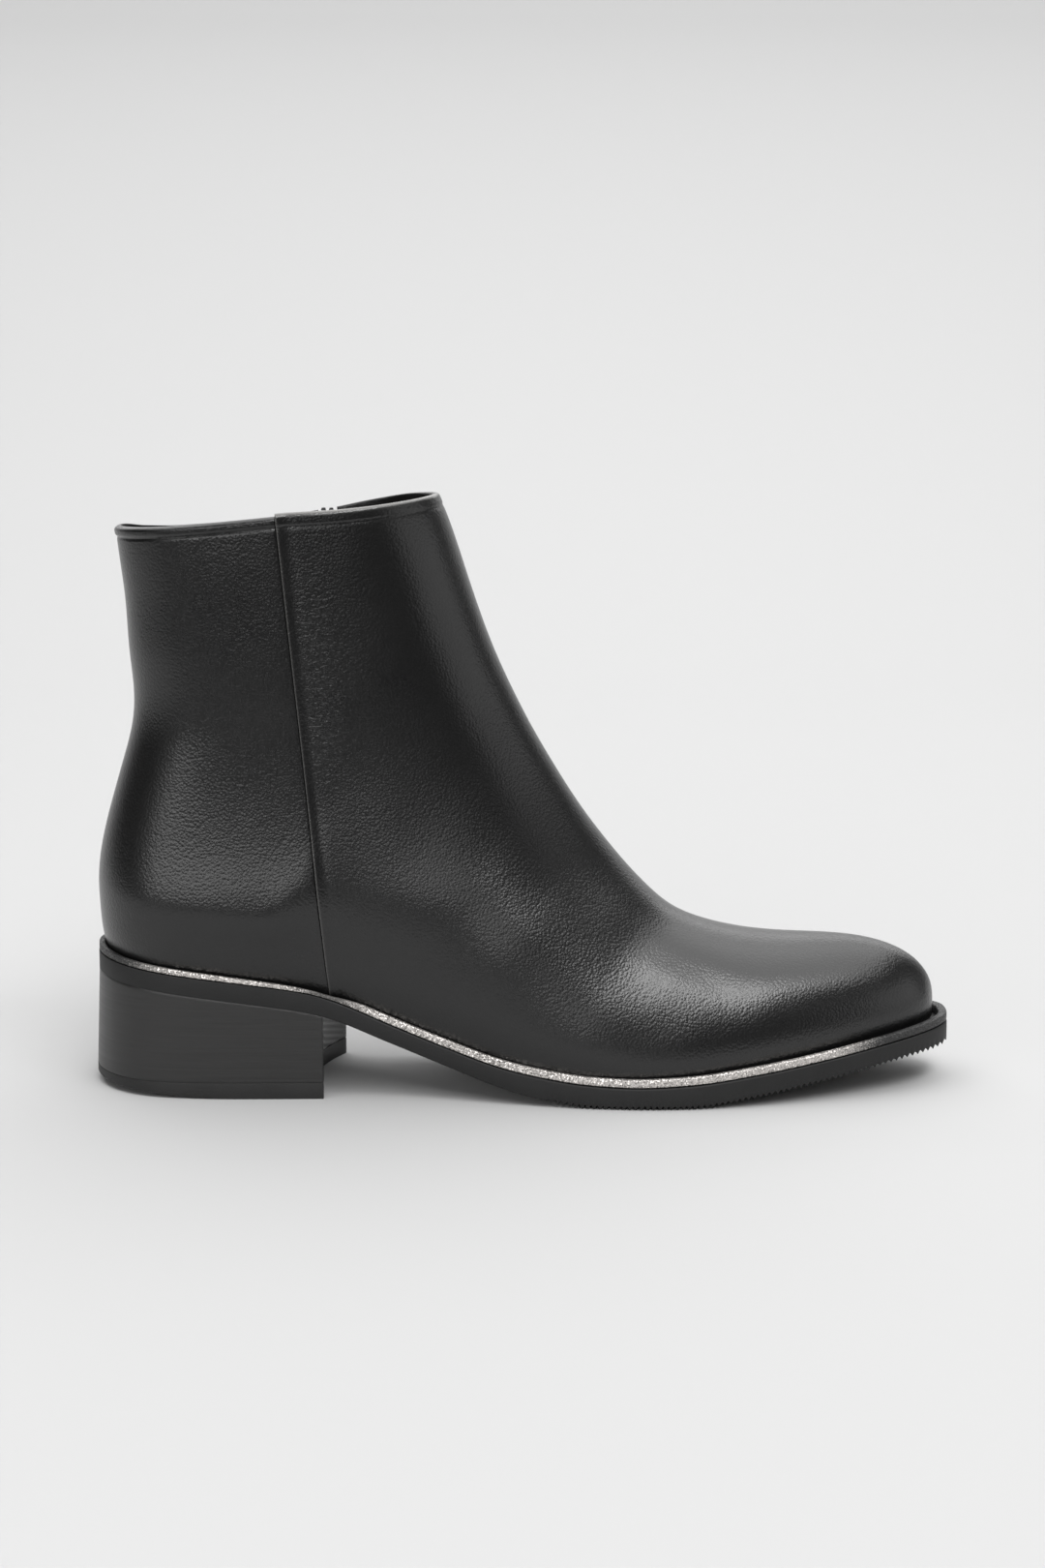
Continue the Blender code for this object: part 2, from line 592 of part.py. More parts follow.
def slider_frame():
    """Place of the slider on the chain: columns are forwards, outwards and up along the zip."""
    line = straight_line(ZIP_FOOT_X, ZIP_TOP_X, MEDIAL)
    span = line(1.0)[1] - line(0.0)[1]
    x, z = line(1 - SLIDER_BELOW_COLLAR / span)
    low = line(1 - (SLIDER_BELOW_COLLAR + 1) / span)
    place = [np.atleast_1d(value) for value in (x, z)]
    seat = skin_point(*place, MEDIAL, np.full(1, -GAP))[0]
    surface = skin_point(*place, MEDIAL, np.zeros(1))[0]
    below = skin_point(*(np.atleast_1d(value) for value in low), MEDIAL, np.zeros(1))[0]
    outward = Vector(surface - skin_point(*place, MEDIAL, np.ones(1))[0]).normalized()
    up = Vector(surface - below).normalized()
    forward = outward.cross(up).normalized()
    frame = Matrix((forward, outward, up)).transposed().to_4x4()
    frame.translation = Vector(seat) * MM
    return frame


def box_mesh(name, size, middle):
    """A block from a primitive cube, with its size and middle in millimetres."""
    mesh = bpy.data.meshes.new(name)
    work = bmesh.new()
    scale = Matrix.Diagonal((*(Vector(size) * MM), 1))
    bmesh.ops.create_cube(work, size=1, matrix=Matrix.Translation(Vector(middle) * MM) @ scale)
    work.to_mesh(mesh)
    work.free()
    return mesh


def rod_mesh(name, radius, length, middle, sides=16):
    """A round rod along X from a primitive cone."""
    mesh = bpy.data.meshes.new(name)
    work = bmesh.new()
    bmesh.ops.create_cone(
        work, cap_ends=True, segments=sides, radius1=radius * MM, radius2=radius * MM, depth=length * MM,
        matrix=Matrix.Translation(Vector(middle) * MM) @ Matrix.Rotation(math.pi / 2, 4, "Y"),
    )
    work.to_mesh(mesh)
    work.free()
    return mesh


def combine(obj, mesh, operation):
    """Joins a helper mesh to an object, or cuts it away, in the object's own frame."""
    helper = bpy.data.objects.new(mesh.name, mesh)
    cutters.objects.link(helper)
    helper.parent = obj
    helper.hide_render = True
    helper.display_type = "WIRE"
    boolean = obj.modifiers.new(mesh.name, "BOOLEAN")
    boolean.operation = operation
    boolean.object = helper


def make_slider(frame):
    """Slider body on the chain, with two lugs and the pin that the pull hangs from."""
    slider = new_object("zip_slider", box_mesh(
        "zip_slider", (SLIDER_WIDE, SLIDER_THICK, SLIDER_TALL), (0, SLIDER_THICK / 2, 0)), ZIP_METAL)
    slider.matrix_local = frame
    lug_x = PULL_EYE_WIDE / 2 + GAP + LUG_THICK / 2
    for number, x in enumerate((-lug_x, lug_x)):
        size = (LUG_THICK, LUG_OUT + LUG_SUNK, LUG_TALL)
        middle = (x, SLIDER_THICK + (LUG_OUT - LUG_SUNK) / 2, 0)
        combine(slider, box_mesh(f"slider_lug_{number}", size, middle), "UNION")
    pin = rod_mesh("slider_pin", PIN_RADIUS, 2 * lug_x, (0, SLIDER_THICK + PIN_OUT, 0))
    combine(slider, pin, "UNION")
    return slider


def make_pull(frame):
    """Flat tab with an eye round the slider's pin; its origin is on the pin's axis."""
    tab_top = PULL_EYE_INNER + PULL_NECK
    tab = box_mesh("zip_pull", (PULL_EYE_WIDE, PULL_THICK, PULL_LONG / 2), (0, 0, -tab_top - PULL_LONG / 4))
    pull = new_object("zip_pull", tab, ZIP_METAL)
    pull.matrix_local = frame @ Matrix.Translation(Vector((0, SLIDER_THICK + PIN_OUT, 0)) * MM)
    blade_long = PULL_LONG * PULL_BLADE_SHARE
    blade = box_mesh(
        "pull_blade", (PULL_WIDE, PULL_THICK, blade_long), (0, 0, -PULL_LONG + blade_long / 2))
    combine(pull, blade, "UNION")
    combine(pull, rod_mesh("pull_eye", PULL_EYE_OUTER, PULL_EYE_WIDE, (0, 0, 0)), "UNION")
    combine(pull, rod_mesh("pull_hole", PULL_EYE_INNER, 3 * PULL_EYE_WIDE, (0, 0, 0)), "DIFFERENCE")
    return pull


def centre_on_floor():
    """Moves the boot so that the middle of its outline is over the origin."""
    bpy.context.view_layer.update()
    graph = bpy.context.evaluated_depsgraph_get()
    corners = []
    for obj in parts.objects:
        if obj.type == "MESH":
            shown = obj.evaluated_get(graph)
            corners += [shown.matrix_world @ Vector(corner) for corner in shown.bound_box]
    corners = np.array(corners)
    middle = (corners.min(0) + corners.max(0)) / 2
    root.location = (-middle[0], -middle[1], 0)


for old in list(bpy.data.objects):
    bpy.data.objects.remove(old)

parts = bpy.data.collections.new("ankle boot")
cutters = bpy.data.collections.new("cutters")
bpy.context.scene.collection.children.link(parts)
bpy.context.scene.collection.children.link(cutters)
root = bpy.data.objects.new("boot_origin", None)
parts.objects.link(root)

make_upper()
make_insole()
make_outsole()
make_bead()
make_heel()
make_top_lift()
make_zip_tape()
zip_frame = slider_frame()
make_slider(zip_frame)
make_pull(zip_frame)
centre_on_floor()
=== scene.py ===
"""Looks of the right ankle boot: leather panels, inside zip, metallic welt, rubber sole and stacked heel.

Shapes are worked out in the last's own millimetres, with X from heel to toe, Y from the outer to the inner
side and Z up from the floor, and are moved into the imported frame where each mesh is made.
"""

import math

import bmesh
import bpy
import numpy as np
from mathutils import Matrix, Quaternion, Vector


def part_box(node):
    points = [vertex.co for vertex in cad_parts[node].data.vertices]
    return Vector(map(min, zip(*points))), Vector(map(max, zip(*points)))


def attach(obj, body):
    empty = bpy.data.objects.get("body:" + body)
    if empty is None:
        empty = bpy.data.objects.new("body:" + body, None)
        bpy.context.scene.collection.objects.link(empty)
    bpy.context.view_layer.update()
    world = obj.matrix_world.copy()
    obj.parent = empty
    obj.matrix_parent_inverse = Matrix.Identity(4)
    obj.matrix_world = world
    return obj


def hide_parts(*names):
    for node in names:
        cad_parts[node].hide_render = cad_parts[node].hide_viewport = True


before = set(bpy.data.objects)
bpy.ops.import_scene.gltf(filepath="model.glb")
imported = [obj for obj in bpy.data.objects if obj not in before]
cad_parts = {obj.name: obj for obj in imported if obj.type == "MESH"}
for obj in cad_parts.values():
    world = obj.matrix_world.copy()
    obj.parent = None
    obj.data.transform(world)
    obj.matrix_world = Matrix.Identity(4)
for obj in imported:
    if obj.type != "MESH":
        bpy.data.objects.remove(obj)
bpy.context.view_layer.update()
MM = 0.001


# Studio
# A pale paper sweep under one broad soft box, with a strip behind the boot, a slanted key in front of it,
# low lights at the left that fade into each other, and a card at the toe. The camera stands on the outer
# side, a little above the collar.

CAMERA_PLACE = (0.0, -0.868, 0.237)
CAMERA_PITCH = 9.43                      # degrees down
FOCAL_PIXELS, FRAME_HIGH = 2933.0, 1620.0
SENSOR = 36.0
SWEEP_NEAR, SWEEP_BEND, SWEEP_RADIUS, SWEEP_WIDE, SWEEP_TOP = -0.38, 0.9, 0.8, 2.5, 2.2
SWEEP_STEPS = 24
PAPER_GREY, PAPER_ROUGHNESS = 0.47, 0.9
SKY_STRENGTH = 0.03

scene = bpy.context.scene
scene.view_settings.view_transform = "Standard"

camera_data = bpy.data.cameras.new("camera")
camera_data.sensor_width = SENSOR
camera_data.lens = SENSOR * FOCAL_PIXELS / FRAME_HIGH
camera = bpy.data.objects.new("camera", camera_data)
camera.location = CAMERA_PLACE
camera.rotation_euler = (math.radians(90 - CAMERA_PITCH), 0, 0)
scene.collection.objects.link(camera)
scene.camera = camera

world = bpy.data.worlds.new("studio")
world.use_nodes = True
world.node_tree.nodes["Background"].inputs["Color"].default_value = (1, 1, 1, 1)
world.node_tree.nodes["Background"].inputs["Strength"].default_value = SKY_STRENGTH
scene.world = world


def new_material(name, sockets):
    """Principled material whose named sockets hold constant values."""
    material = bpy.data.materials.new(name)
    material.use_nodes = True
    shader = material.node_tree.nodes["Principled BSDF"]
    for socket, value in sockets.items():
        shader.inputs[socket].default_value = value
    return material, material.node_tree, shader


def grid_quads(rows, columns, wrap=False):
    """Corner numbers of the four-sided faces of a grid stored row by row.

    Wrap joins the last column to the first.
    """
    row, column = np.meshgrid(np.arange(rows - 1), np.arange(columns - (not wrap)), indexing="ij")
    ahead = (column + 1) % columns
    corners = (row, column), (row, ahead), (row + 1, ahead), (row + 1, column)
    return np.stack([r * columns + c for r, c in corners], -1).reshape(-1, 4)


def soft_box(name, place, aim, size, watts, roll=0.0):
    """Rectangular area light that faces a point, rolled about its beam by degrees."""
    data = bpy.data.lights.new(name, "AREA")
    data.shape = "RECTANGLE"
    data.size, data.size_y = size
    data.energy = watts
    light = bpy.data.objects.new(name, data)
    light.location = place
    facing = (Vector(aim) - Vector(place)).to_track_quat("-Z", "Y")
    light.rotation_euler = (facing @ Quaternion((0, 0, 1), math.radians(roll))).to_euler()
    scene.collection.objects.link(light)


def paper_sweep():
    """Floor, quarter circle and wall as one profile in Y and Z, carried straight across X."""
    turn = np.linspace(0, math.pi / 2, SWEEP_STEPS)
    wall = SWEEP_BEND + SWEEP_RADIUS
    along = np.concatenate([[SWEEP_NEAR], SWEEP_BEND + SWEEP_RADIUS * np.sin(turn), [wall]])
    up = np.concatenate([[0], SWEEP_RADIUS * (1 - np.cos(turn)), [SWEEP_TOP]])
    across = np.array([-SWEEP_WIDE, SWEEP_WIDE])
    points = np.stack(np.broadcast_arrays(across, along[:, None], up[:, None]), -1).reshape(-1, 3)
    mesh = bpy.data.meshes.new("paper_sweep")
    mesh.from_pydata(points.tolist(), [], grid_quads(len(along), 2).tolist())
    mesh.shade_smooth()
    paper = {"Base Color": (PAPER_GREY, PAPER_GREY, PAPER_GREY, 1), "Roughness": PAPER_ROUGHNESS}
    mesh.materials.append(new_material("paper", paper)[0])
    sweep = bpy.data.objects.new("paper_sweep", mesh)
    scene.collection.objects.link(sweep)


paper_sweep()
soft_box("overhead", place=(0.0, 0.62, 1.7), aim=(0.0, 0.62, 0.0), size=(3.2, 2.7), watts=63.5)
soft_box("back_strip", place=(0.0, 1.45, 0.82), aim=(0.0, 0.0, 0.03), size=(2.4, 0.4), watts=5.2)
soft_box("key", place=(0.55, -1.4, 1.8), aim=(0.03, -0.03, 0.04), size=(1.9, 0.6), watts=37.0, roll=45.0)
soft_box("low_fill", place=(-0.6, -1.05, 0.34), aim=(-0.08, 0.0, 0.07), size=(1.0, 0.2), watts=1.6)
soft_box("low_spread", place=(-0.5, -1.2, 0.42), aim=(-0.03, 0.0, 0.06), size=(1.6, 0.42), watts=2.1)
soft_box("low_rise", place=(-0.75, -1.05, 0.56), aim=(-0.05, 0.0, 0.06), size=(1.7, 0.64), watts=2.2)
soft_box("side_card", place=(1.6, -0.25, 0.45), aim=(0.05, 0.0, 0.08), size=(1.6, 0.8), watts=3.2)


# Front panel
# Black grained leather, cut in one piece from the outer side seam over the instep to the zip and lasted down
# to the sole. Its top edge is turned over, and its back edge is skived and laps the quarter at the seam.

LATERAL, MEDIAL = -1, 1
GAP = 0.3
TOE_PLAN_X, HEEL_PLAN_X = 129.4, -131.0
PIVOT_X, PIVOT_Z = 190.0, 205.0          # section planes fan out from this line in front of the instep
COLLAR_BACK_Z, COLLAR_FRONT_Z = 173.0, 183.0
COLLAR_OUTER_DIP = 0.7
CORNER_RISE, CORNER_LENGTH, CORNER_POWER = 0.9, 14.0, 20         # top corner, higher than the quarter
SEAM_FOOT_X, SEAM_TOP_X, SEAM_GAP = -58.7, -73.3, 0.05
SEAM_STEP, SEAM_EDGE = 0.35, 1.8         # the lapped edge stands proud over this width
SEAM_LIFT, SEAM_FADE = 0.2, 8.0
VALLEY_DEPTH, VALLEY_AHEAD, VALLEY_HALF = 0.14, 3.6, 1.5
FOLD_HEIGHT, FOLD_PROUD, FOLD_GROOVE, FOLD_FADE = 3.4, 0.2, 0.12, 0.7
WRINKLE_AHEAD, WRINKLE_HALF, WRINKLE_SHARE = 9.0, 9.0, 2.2       # fine wrinkles beside the seam
WRINKLE_LOW, WRINKLE_HIGH, WRINKLE_FADE = 86.0, 170.0, 26.0
SEAM_ROUND, EDGE_ROUND, RIM_ROUND = 0.3, 0.65, 1.4       # of the outer face at seam, sole or zip, and rim
INNER_ROUND_MOST = 1.3                                   # of the inner face, in shares of the outer one's
ZIP_FOOT_X, ZIP_TOP_X, ZIP_SLOT_HALF = -56.0, -61.5, 3.0
ZIP_RISE, ZIP_OPENING = 30.0, 8.0        # the slot starts here and opens over this height
BLEND_RISE, BLEND_HEEL, BLEND_TOE_X, BLEND_TOE_GROWTH = 70.0, 46.0, 20.0, 0.03
HEEL_BLEND_X, HEEL_BLEND_LENGTH = -45.0, 35.0
BULGE, BULGE_RISE = 1.3, 9.0
WAIST_SWELL, WAIST_RISE, WAIST_X, WAIST_LENGTH = 3.5, 24.0, -18.0, 48.0
LINE_SAMPLES, LEAST_ROUNDING = 2000, 0.1
LEATHER, TURNED = 1.3, 2.0               # single leather, and the turned-over top edge
TURN_START, TURN_FADE = 0.958, 0.008     # share of the panel's height
RIM_SHARE, BODY_ROWS, RIM_ROWS = 0.035, 140, 30
EDGE_SHARE, EDGE_COLUMNS = 0.05, 16
FRONT_COLUMNS = 84, 60                   # on the outer and the inner side, beside those at the edge
CREASE_END, CREASE_FADE = 0.15, 0.4      # a crease runs on and fades, in shares of its length
RIDGE_FADE = 15.0                        # creases fade within this distance of the front ridge
LEATHER_DARK, LEATHER_LIGHT = (0.004, 0.004, 0.0042, 1), (0.008, 0.0079, 0.0078, 1)
PAINTED_HIGHLIGHT_COLOUR = (0.17, 0.166, 0.16, 1)                    # painted highlight: a paler colour for light caught on the seam edge and the turned top edge
SEAM_HIGHLIGHT_SHARE, SEAM_HIGHLIGHT_WIDE = 0.42, 0.4                          # painted highlight along the lapped edge at the seam
RIM_HIGHLIGHT_SHARE, RIM_HIGHLIGHT_WIDE = 1.0, 0.8                     # painted highlight along the turned top edge
LEATHER_SPECULAR, LEATHER_ROUGHNESS = 0.6, (0.26, 0.30)
GRAIN_SCALE, GRAIN_STRENGTH, GRAIN_DEPTH = 1250.0, 0.6, 0.00015     # cells to the metre, and metres deep
WARP_SCALE, WARP_DEPTH, DOME_SHARE = 300.0, 0.0006, 0.75
PORE_SCALE, PORE_SHARE = 4200.0, 0.15
WRINKLE_SCALE, WRINKLE_STRETCH = 1200.0, (0.35, 0.35, 1.0)
SLOW_SCALE, SLOW_DETAIL = 38.0, 3.0


def table(columns, *rows):
    """Named columns of a short table, as arrays."""
    return dict(zip(columns.split(), np.array(rows, float).T))


# Plan of the last's bottom: half width, and how far its middle lies towards the inner side
PLAN = table(
    "x half centre",
    (129.4, 0.0, 2.5), (124.0, 11.6, 2.2), (114.0, 19.4, 1.7), (98.0, 26.9, 1.0), (78.0, 33.6, 0.1),
    (57.0, 37.2, -1.4), (36.0, 37.0, -3.4), (15.0, 33.2, -5.2), (-10.0, 27.6, -5.4), (-35.0, 24.5, -3.9),
    (-60.0, 25.2, -2.4), (-85.0, 27.0, -1.1), (-105.0, 28.0, -0.4), (-131.0, 28.2, 0.0),
)

# Front line of the last from the toe over vamp and instep to the collar, and how deep the round behind it is
FRONT = table(
    "x z rounding",
    (128.8, 17.6, 2.0), (129.3, 23.5, 6.0), (128.3, 29.8, 11.0), (124.2, 35.8, 17.0), (117.8, 40.1, 22.0),
    (108.0, 43.2, 26.5), (95.0, 44.7, 30.5), (80.0, 45.5, 33.5), (68.0, 46.9, 36.0), (57.0, 49.6, 38.0),
    (47.0, 53.9, 40.0), (38.0, 61.5, 42.0), (29.8, 70.4, 44.0), (20.3, 82.6, 46.0), (5.0, 107.2, 47.5),
    (-7.2, 131.4, 47.0), (-16.0, 155.3, 45.5), (-23.4, 177.3, 44.0), (-25.9, 183.0, 44.0),
)

# Back line from the heel seat up to the collar
BACK = table(
    "z x rounding",
    (40.0, -129.3, 32.0), (46.0, -130.8, 32.0), (55.0, -131.8, 33.0), (65.0, -132.0, 34.0),
    (77.0, -130.2, 35.0), (90.0, -126.7, 36.0), (102.0, -123.2, 37.0), (112.0, -120.7, 38.0),
    (121.0, -120.0, 38.0), (135.0, -121.1, 38.0), (150.0, -121.9, 39.0), (162.0, -123.2, 40.0),
    (173.0, -124.4, 41.0),
)

# Half width of heel, ankle and leg
LEG = table(
    "z half",
    (35.0, 30.8), (54.0, 33.0), (62.0, 32.5), (72.0, 31.0), (84.0, 29.7), (100.0, 28.9), (125.0, 29.4),
    (150.0, 30.3), (185.0, 31.2),
)

# How far the inner side of the collar is cut below the plane, from the back (share 0) to the front (share 1)
COLLAR_INNER = table(
    "share dip",
    (0.0, 0.0), (0.06, 2.0), (0.18, 3.7), (0.4, 4.4), (0.62, 3.5), (0.8, 1.5), (0.92, 0.3), (1.0, 0.0),
)

# Top and bottom of the outsole along the boot: heel seat, waist, flat tread at the ball and toe spring
SOLE = table(
    "x top bottom",
    (-134.0, 41.2, 35.6), (-115.0, 39.2, 33.6), (-85.0, 35.6, 29.9), (-66.0, 32.8, 27.0),
    (-58.0, 30.6, 24.8), (-41.0, 23.4, 17.8), (-23.5, 16.6, 11.0), (-6.0, 11.0, 4.9), (5.5, 8.8, 2.2),
    (20.0, 7.1, 0.0), (34.0, 6.6, 0.0), (50.0, 7.2, 0.0), (70.0, 9.4, 2.4), (94.0, 12.7, 6.3),
    (120.0, 16.4, 10.3), (134.0, 17.8, 11.2),
)

# Soft troughs (depth above zero) and ridges (below zero) in the leather: from, to, half width and depth
CREASES = table(
    "side x0 z0 x1 z1 width depth",
    (-1, -40.0, 75.0, -52.0, 165.0, 8.0, -0.25),
    (-1, 30.0, 54.0, 68.0, 31.0, 5.0, 0.5),
    (-1, -14.0, 51.0, 32.0, 19.0, 17.0, -1.3),
    (-1, 40.0, 40.0, -2.0, 69.0, 13.0, 0.9),
    (1, 48.0, 33.0, 62.0, 46.0, 3.5, 0.45),
    (1, 2.0, 92.0, -30.0, 78.0, 5.0, 0.35),
    (1, 10.0, 76.0, -24.0, 60.0, 5.5, 0.30),
)

# Slow waves of hand-lasted leather: height, length along each axis for one radian, and where the wave starts
HAND_WAVES = table(
    "height x y z start",
    (0.07, 9.0, 15.0, 23.0, 0.0), (0.06, -31.0, math.inf, 11.0, 1.3), (0.03, 5.3, 8.0, -7.1, 0.6),
)


def smooth_curve(knots, values, at):
    """Natural cubic spline: curvature runs on through every knot."""
    step = np.diff(knots)
    slope = np.diff(values) / step
    middle = np.diag(np.concatenate([[1], 2 * (step[:-1] + step[1:]), [1]]))
    system = middle + np.diag(np.append(0, step[1:]), 1) + np.diag(np.append(step[:-1], 0), -1)
    bend = np.linalg.solve(system, np.concatenate([[0], 6 * np.diff(slope), [0]]))
    i = np.clip(np.searchsorted(knots, at) - 1, 0, len(knots) - 2)
    before, after = at - knots[i], knots[i + 1] - at
    return (
        (bend[i] * after**3 + bend[i + 1] * before**3) / (6 * step[i])
        + (values[i] / step[i] - bend[i] * step[i] / 6) * after
        + (values[i + 1] / step[i] - bend[i + 1] * step[i] / 6) * before
    )


def steady_curve(knots, values, at):
    """Cubic curve that never overshoots its knots, so a level stretch stays level."""
    step = np.diff(knots)
    slope = np.diff(values) / step
    product = slope[:-1] * slope[1:]
    tangent = np.concatenate([slope[:1], np.zeros(len(product)), slope[-1:]])
    climbing = product > 0
    tangent[1:-1][climbing] = 2 * product[climbing] / (slope[:-1] + slope[1:])[climbing]
    i = np.clip(np.searchsorted(knots, at) - 1, 0, len(knots) - 2)
    t = (at - knots[i]) / step[i]
    return (
        values[i] * (1 + 2 * t) * (1 - t) ** 2
        + values[i + 1] * t * t * (3 - 2 * t)
        + step[i] * t * (1 - t) * (tangent[i] * (1 - t) - tangent[i + 1] * t)
    )


def smooth_step(t):
    """Cubic ease from zero to one."""
    t = np.clip(t, 0, 1)
    return t * t * (3 - 2 * t)


def soft_round(t):
    """Grows like the edge of a circle, then levels off at one."""
    return np.sqrt(np.tanh(2 * np.maximum(t, 0)))


def sole_top(x):
    """Height of the outsole's upper face along the boot."""
    return steady_curve(SOLE["x"], SOLE["top"], np.asarray(x, float))


def feather_z(x):
    """Lower edge of the upper, resting on the outsole."""
    return sole_top(x) + GAP


def back_x(z):
    """Back line of the last at a height."""
    return smooth_curve(BACK["z"], BACK["x"], z)


def fan_angle(x, z):
    """Angle of the section plane through a side-view point: straight down at the toe, level at the top."""
    return np.arctan2(PIVOT_X - x, PIVOT_Z - z)


def run_length(x, z):
    """Length along a row of side-view points."""
    return np.concatenate([[0], np.cumsum(np.hypot(np.diff(x), np.diff(z)))])


FRONT["z"][0] = feather_z(FRONT["x"][0])
FRONT["run"] = run_length(FRONT["x"], FRONT["z"])
run_samples = np.linspace(0, FRONT["run"][-1], LINE_SAMPLES)
LINE = {name: smooth_curve(FRONT["run"], FRONT[name], run_samples) for name in ("x", "z", "rounding")}
LINE["run"] = run_length(LINE["x"], LINE["z"])
LINE["angle"] = fan_angle(LINE["x"], LINE["z"])
LINE["reach"] = np.hypot(PIVOT_X - LINE["x"], PIVOT_Z - LINE["z"])


def plan_curve(column, x):
    """Plan size at x, read along the square root of the distance to the toe so that the toe closes round."""
    length = TOE_PLAN_X - HEEL_PLAN_X
    knots = np.sqrt((TOE_PLAN_X - PLAN["x"]) / length)
    return smooth_curve(knots, PLAN[column], np.sqrt(np.clip((TOE_PLAN_X - x) / length, 0, None)))


def behind_front(x, z):
    """How far a side-view point lies behind the front line, along its section plane."""
    reach = np.interp(fan_angle(x, z), LINE["angle"], LINE["reach"])
    return np.hypot(PIVOT_X - x, PIVOT_Z - z) - reach


def skin_y(x, z, side):
    """Outer skin of the upper at a side-view point: width of foot or leg, rounded off at front and back."""
    rise = np.maximum(z - sole_top(x), 0)
    sooner = BLEND_HEEL * smooth_step((HEEL_BLEND_X - x) / HEEL_BLEND_LENGTH)
    later = BLEND_TOE_GROWTH * np.maximum(x - BLEND_TOE_X, 0) ** 2
    leg_share = smooth_step(rise / (BLEND_RISE - sooner + later))
    swell = rise / BULGE_RISE * np.exp(1 - rise / BULGE_RISE)
    foot_half = plan_curve("half", x) + BULGE * swell**2
    half = foot_half + (smooth_curve(LEG["z"], LEG["half"], z) - foot_half) * leg_share
    if side == LATERAL:
        waist = rise / WAIST_RISE * np.exp(1 - rise / WAIST_RISE)
        half = half + WAIST_SWELL * waist**2 * np.exp(-(((x - WAIST_X) / WAIST_LENGTH) ** 2))
    rounding = np.maximum(np.interp(fan_angle(x, z), LINE["angle"], LINE["rounding"]), LEAST_ROUNDING)
    front = soft_round(behind_front(x, z) / rounding)
    back = soft_round((x - back_x(z)) / smooth_curve(BACK["z"], BACK["rounding"], z))
    return plan_curve("centre", x) * (1 - leg_share) + side * half * front * back


def collar_z(x, side):
    """Collar: a plane that climbs to the front, with both sides cut a little lower, the inner one more."""
    share = (x - back_x(COLLAR_BACK_Z)) / (FRONT["x"][-1] - back_x(COLLAR_BACK_Z))
    plane = COLLAR_BACK_Z + (COLLAR_FRONT_Z - COLLAR_BACK_Z) * share
    if side == MEDIAL:
        return plane - steady_curve(COLLAR_INNER["share"], COLLAR_INNER["dip"], share)
    return plane - COLLAR_OUTER_DIP * (1 - (2 * share - 1) ** 4)


def back_line(v):
    """Back edge of the quarter for v from the sole (0) to the collar (1)."""
    foot_z = feather_z(back_x(BACK["z"][0] + GAP))
    z = foot_z + (COLLAR_BACK_Z - foot_z) * v
    return back_x(z), z


def front_line(v):
    """Front edge of the vamp for v from toe to collar, evenly along its length."""
    run = v * LINE["run"][-1]
    return np.interp(run, LINE["run"], LINE["x"]), np.interp(run, LINE["run"], LINE["z"])


def straight_line(foot_x, top_x, side, aside=lambda rise: 0.0):
    """A side-view line from sole to collar as a function of v, moved along X by a function of its rise."""
    foot_z = feather_z(foot_x)
    tall = collar_z(top_x, side) - foot_z

    def line(v):
        return foot_x + (top_x - foot_x) * v + aside(tall * v), foot_z + tall * v

    return line


def slot_half(rise):
    """Half the gap between the zip's leather edges: a closed seam at the foot that opens into the slot."""
    opened = smooth_step((rise - ZIP_RISE + ZIP_OPENING) / ZIP_OPENING)
    return SEAM_GAP + (ZIP_SLOT_HALF - SEAM_GAP) * opened


def panel(left, right, across, v, side):
    """Side-view grid between two edge lines, bent to follow the sole below and the collar above."""
    s, v = across[None, :], v[:, None]
    (x0, z0), (x1, z1) = left(v), right(v)
    (foot0_x, foot0_z), (foot1_x, foot1_z) = left(np.zeros(1)), right(np.zeros(1))
    (top0_x, top0_z), (top1_x, top1_z) = left(np.ones(1)), right(np.ones(1))
    foot_x, top_x = foot0_x + (foot1_x - foot0_x) * s, top0_x + (top1_x - top0_x) * s
    foot_bow = feather_z(foot_x) - (foot0_z + (foot1_z - foot0_z) * s)
    top_bow = collar_z(top_x, side) - (top0_z + (top1_z - top0_z) * s)
    return x0 + (x1 - x0) * s, z0 + (z1 - z0) * s + foot_bow * (1 - v) + top_bow * v


def crowded(count):
    """Shares from zero to one whose steps are smallest at zero, for the columns beside an edge."""
    edge = EDGE_SHARE * np.linspace(0, 1, EDGE_COLUMNS, endpoint=False) ** 2
    return np.concatenate([edge, EDGE_SHARE + (1 - EDGE_SHARE) * np.sin(np.linspace(0, math.pi / 2, count))])


def panel_rows():
    """Shares of a panel's height, even from the sole and crowded at the rim."""
    body = np.linspace(0, 1 - RIM_SHARE, BODY_ROWS, endpoint=False)
    return np.concatenate([body, 1 - RIM_SHARE * (1 - np.linspace(0, 1, RIM_ROWS)) ** 2])


def half_skin(line, edge, across, v, side):
    """Skin points of one side of a panel, from its seam or zip edge to the ridge at front or back."""
    x, z = panel(edge, line, across, v, side)
    return np.stack([x, skin_y(x, z, side), z], -1)


def outward_normals(points):
    """Unit normals of a grid: cross product of its column and row directions."""
    normal = np.cross(np.gradient(points, axis=1), np.gradient(points, axis=0))
    return normal / np.linalg.norm(normal, axis=-1, keepdims=True)


def run_along(points, axis):
    """Length along the grid lines from the first row or column."""
    step = np.linalg.norm(np.diff(points, axis=axis), axis=-1)
    return np.cumsum(np.insert(step, 0, 0, axis=axis), axis=axis)


def edge_distance(points):
    """Distance along the grid to the first column, the last column, the foot and the rim."""
    from_first, from_foot = run_along(points, 1), run_along(points, 0)
    return from_first, from_first[:, -1:] - from_first, from_foot, from_foot[-1:] - from_foot


def round_over(distance, radius):
    """Drop of a rounded edge: a quarter circle that starts one radius away from the edge."""
    near = np.clip(radius - distance, 0, radius)
    return radius - np.sqrt(radius**2 - near**2)


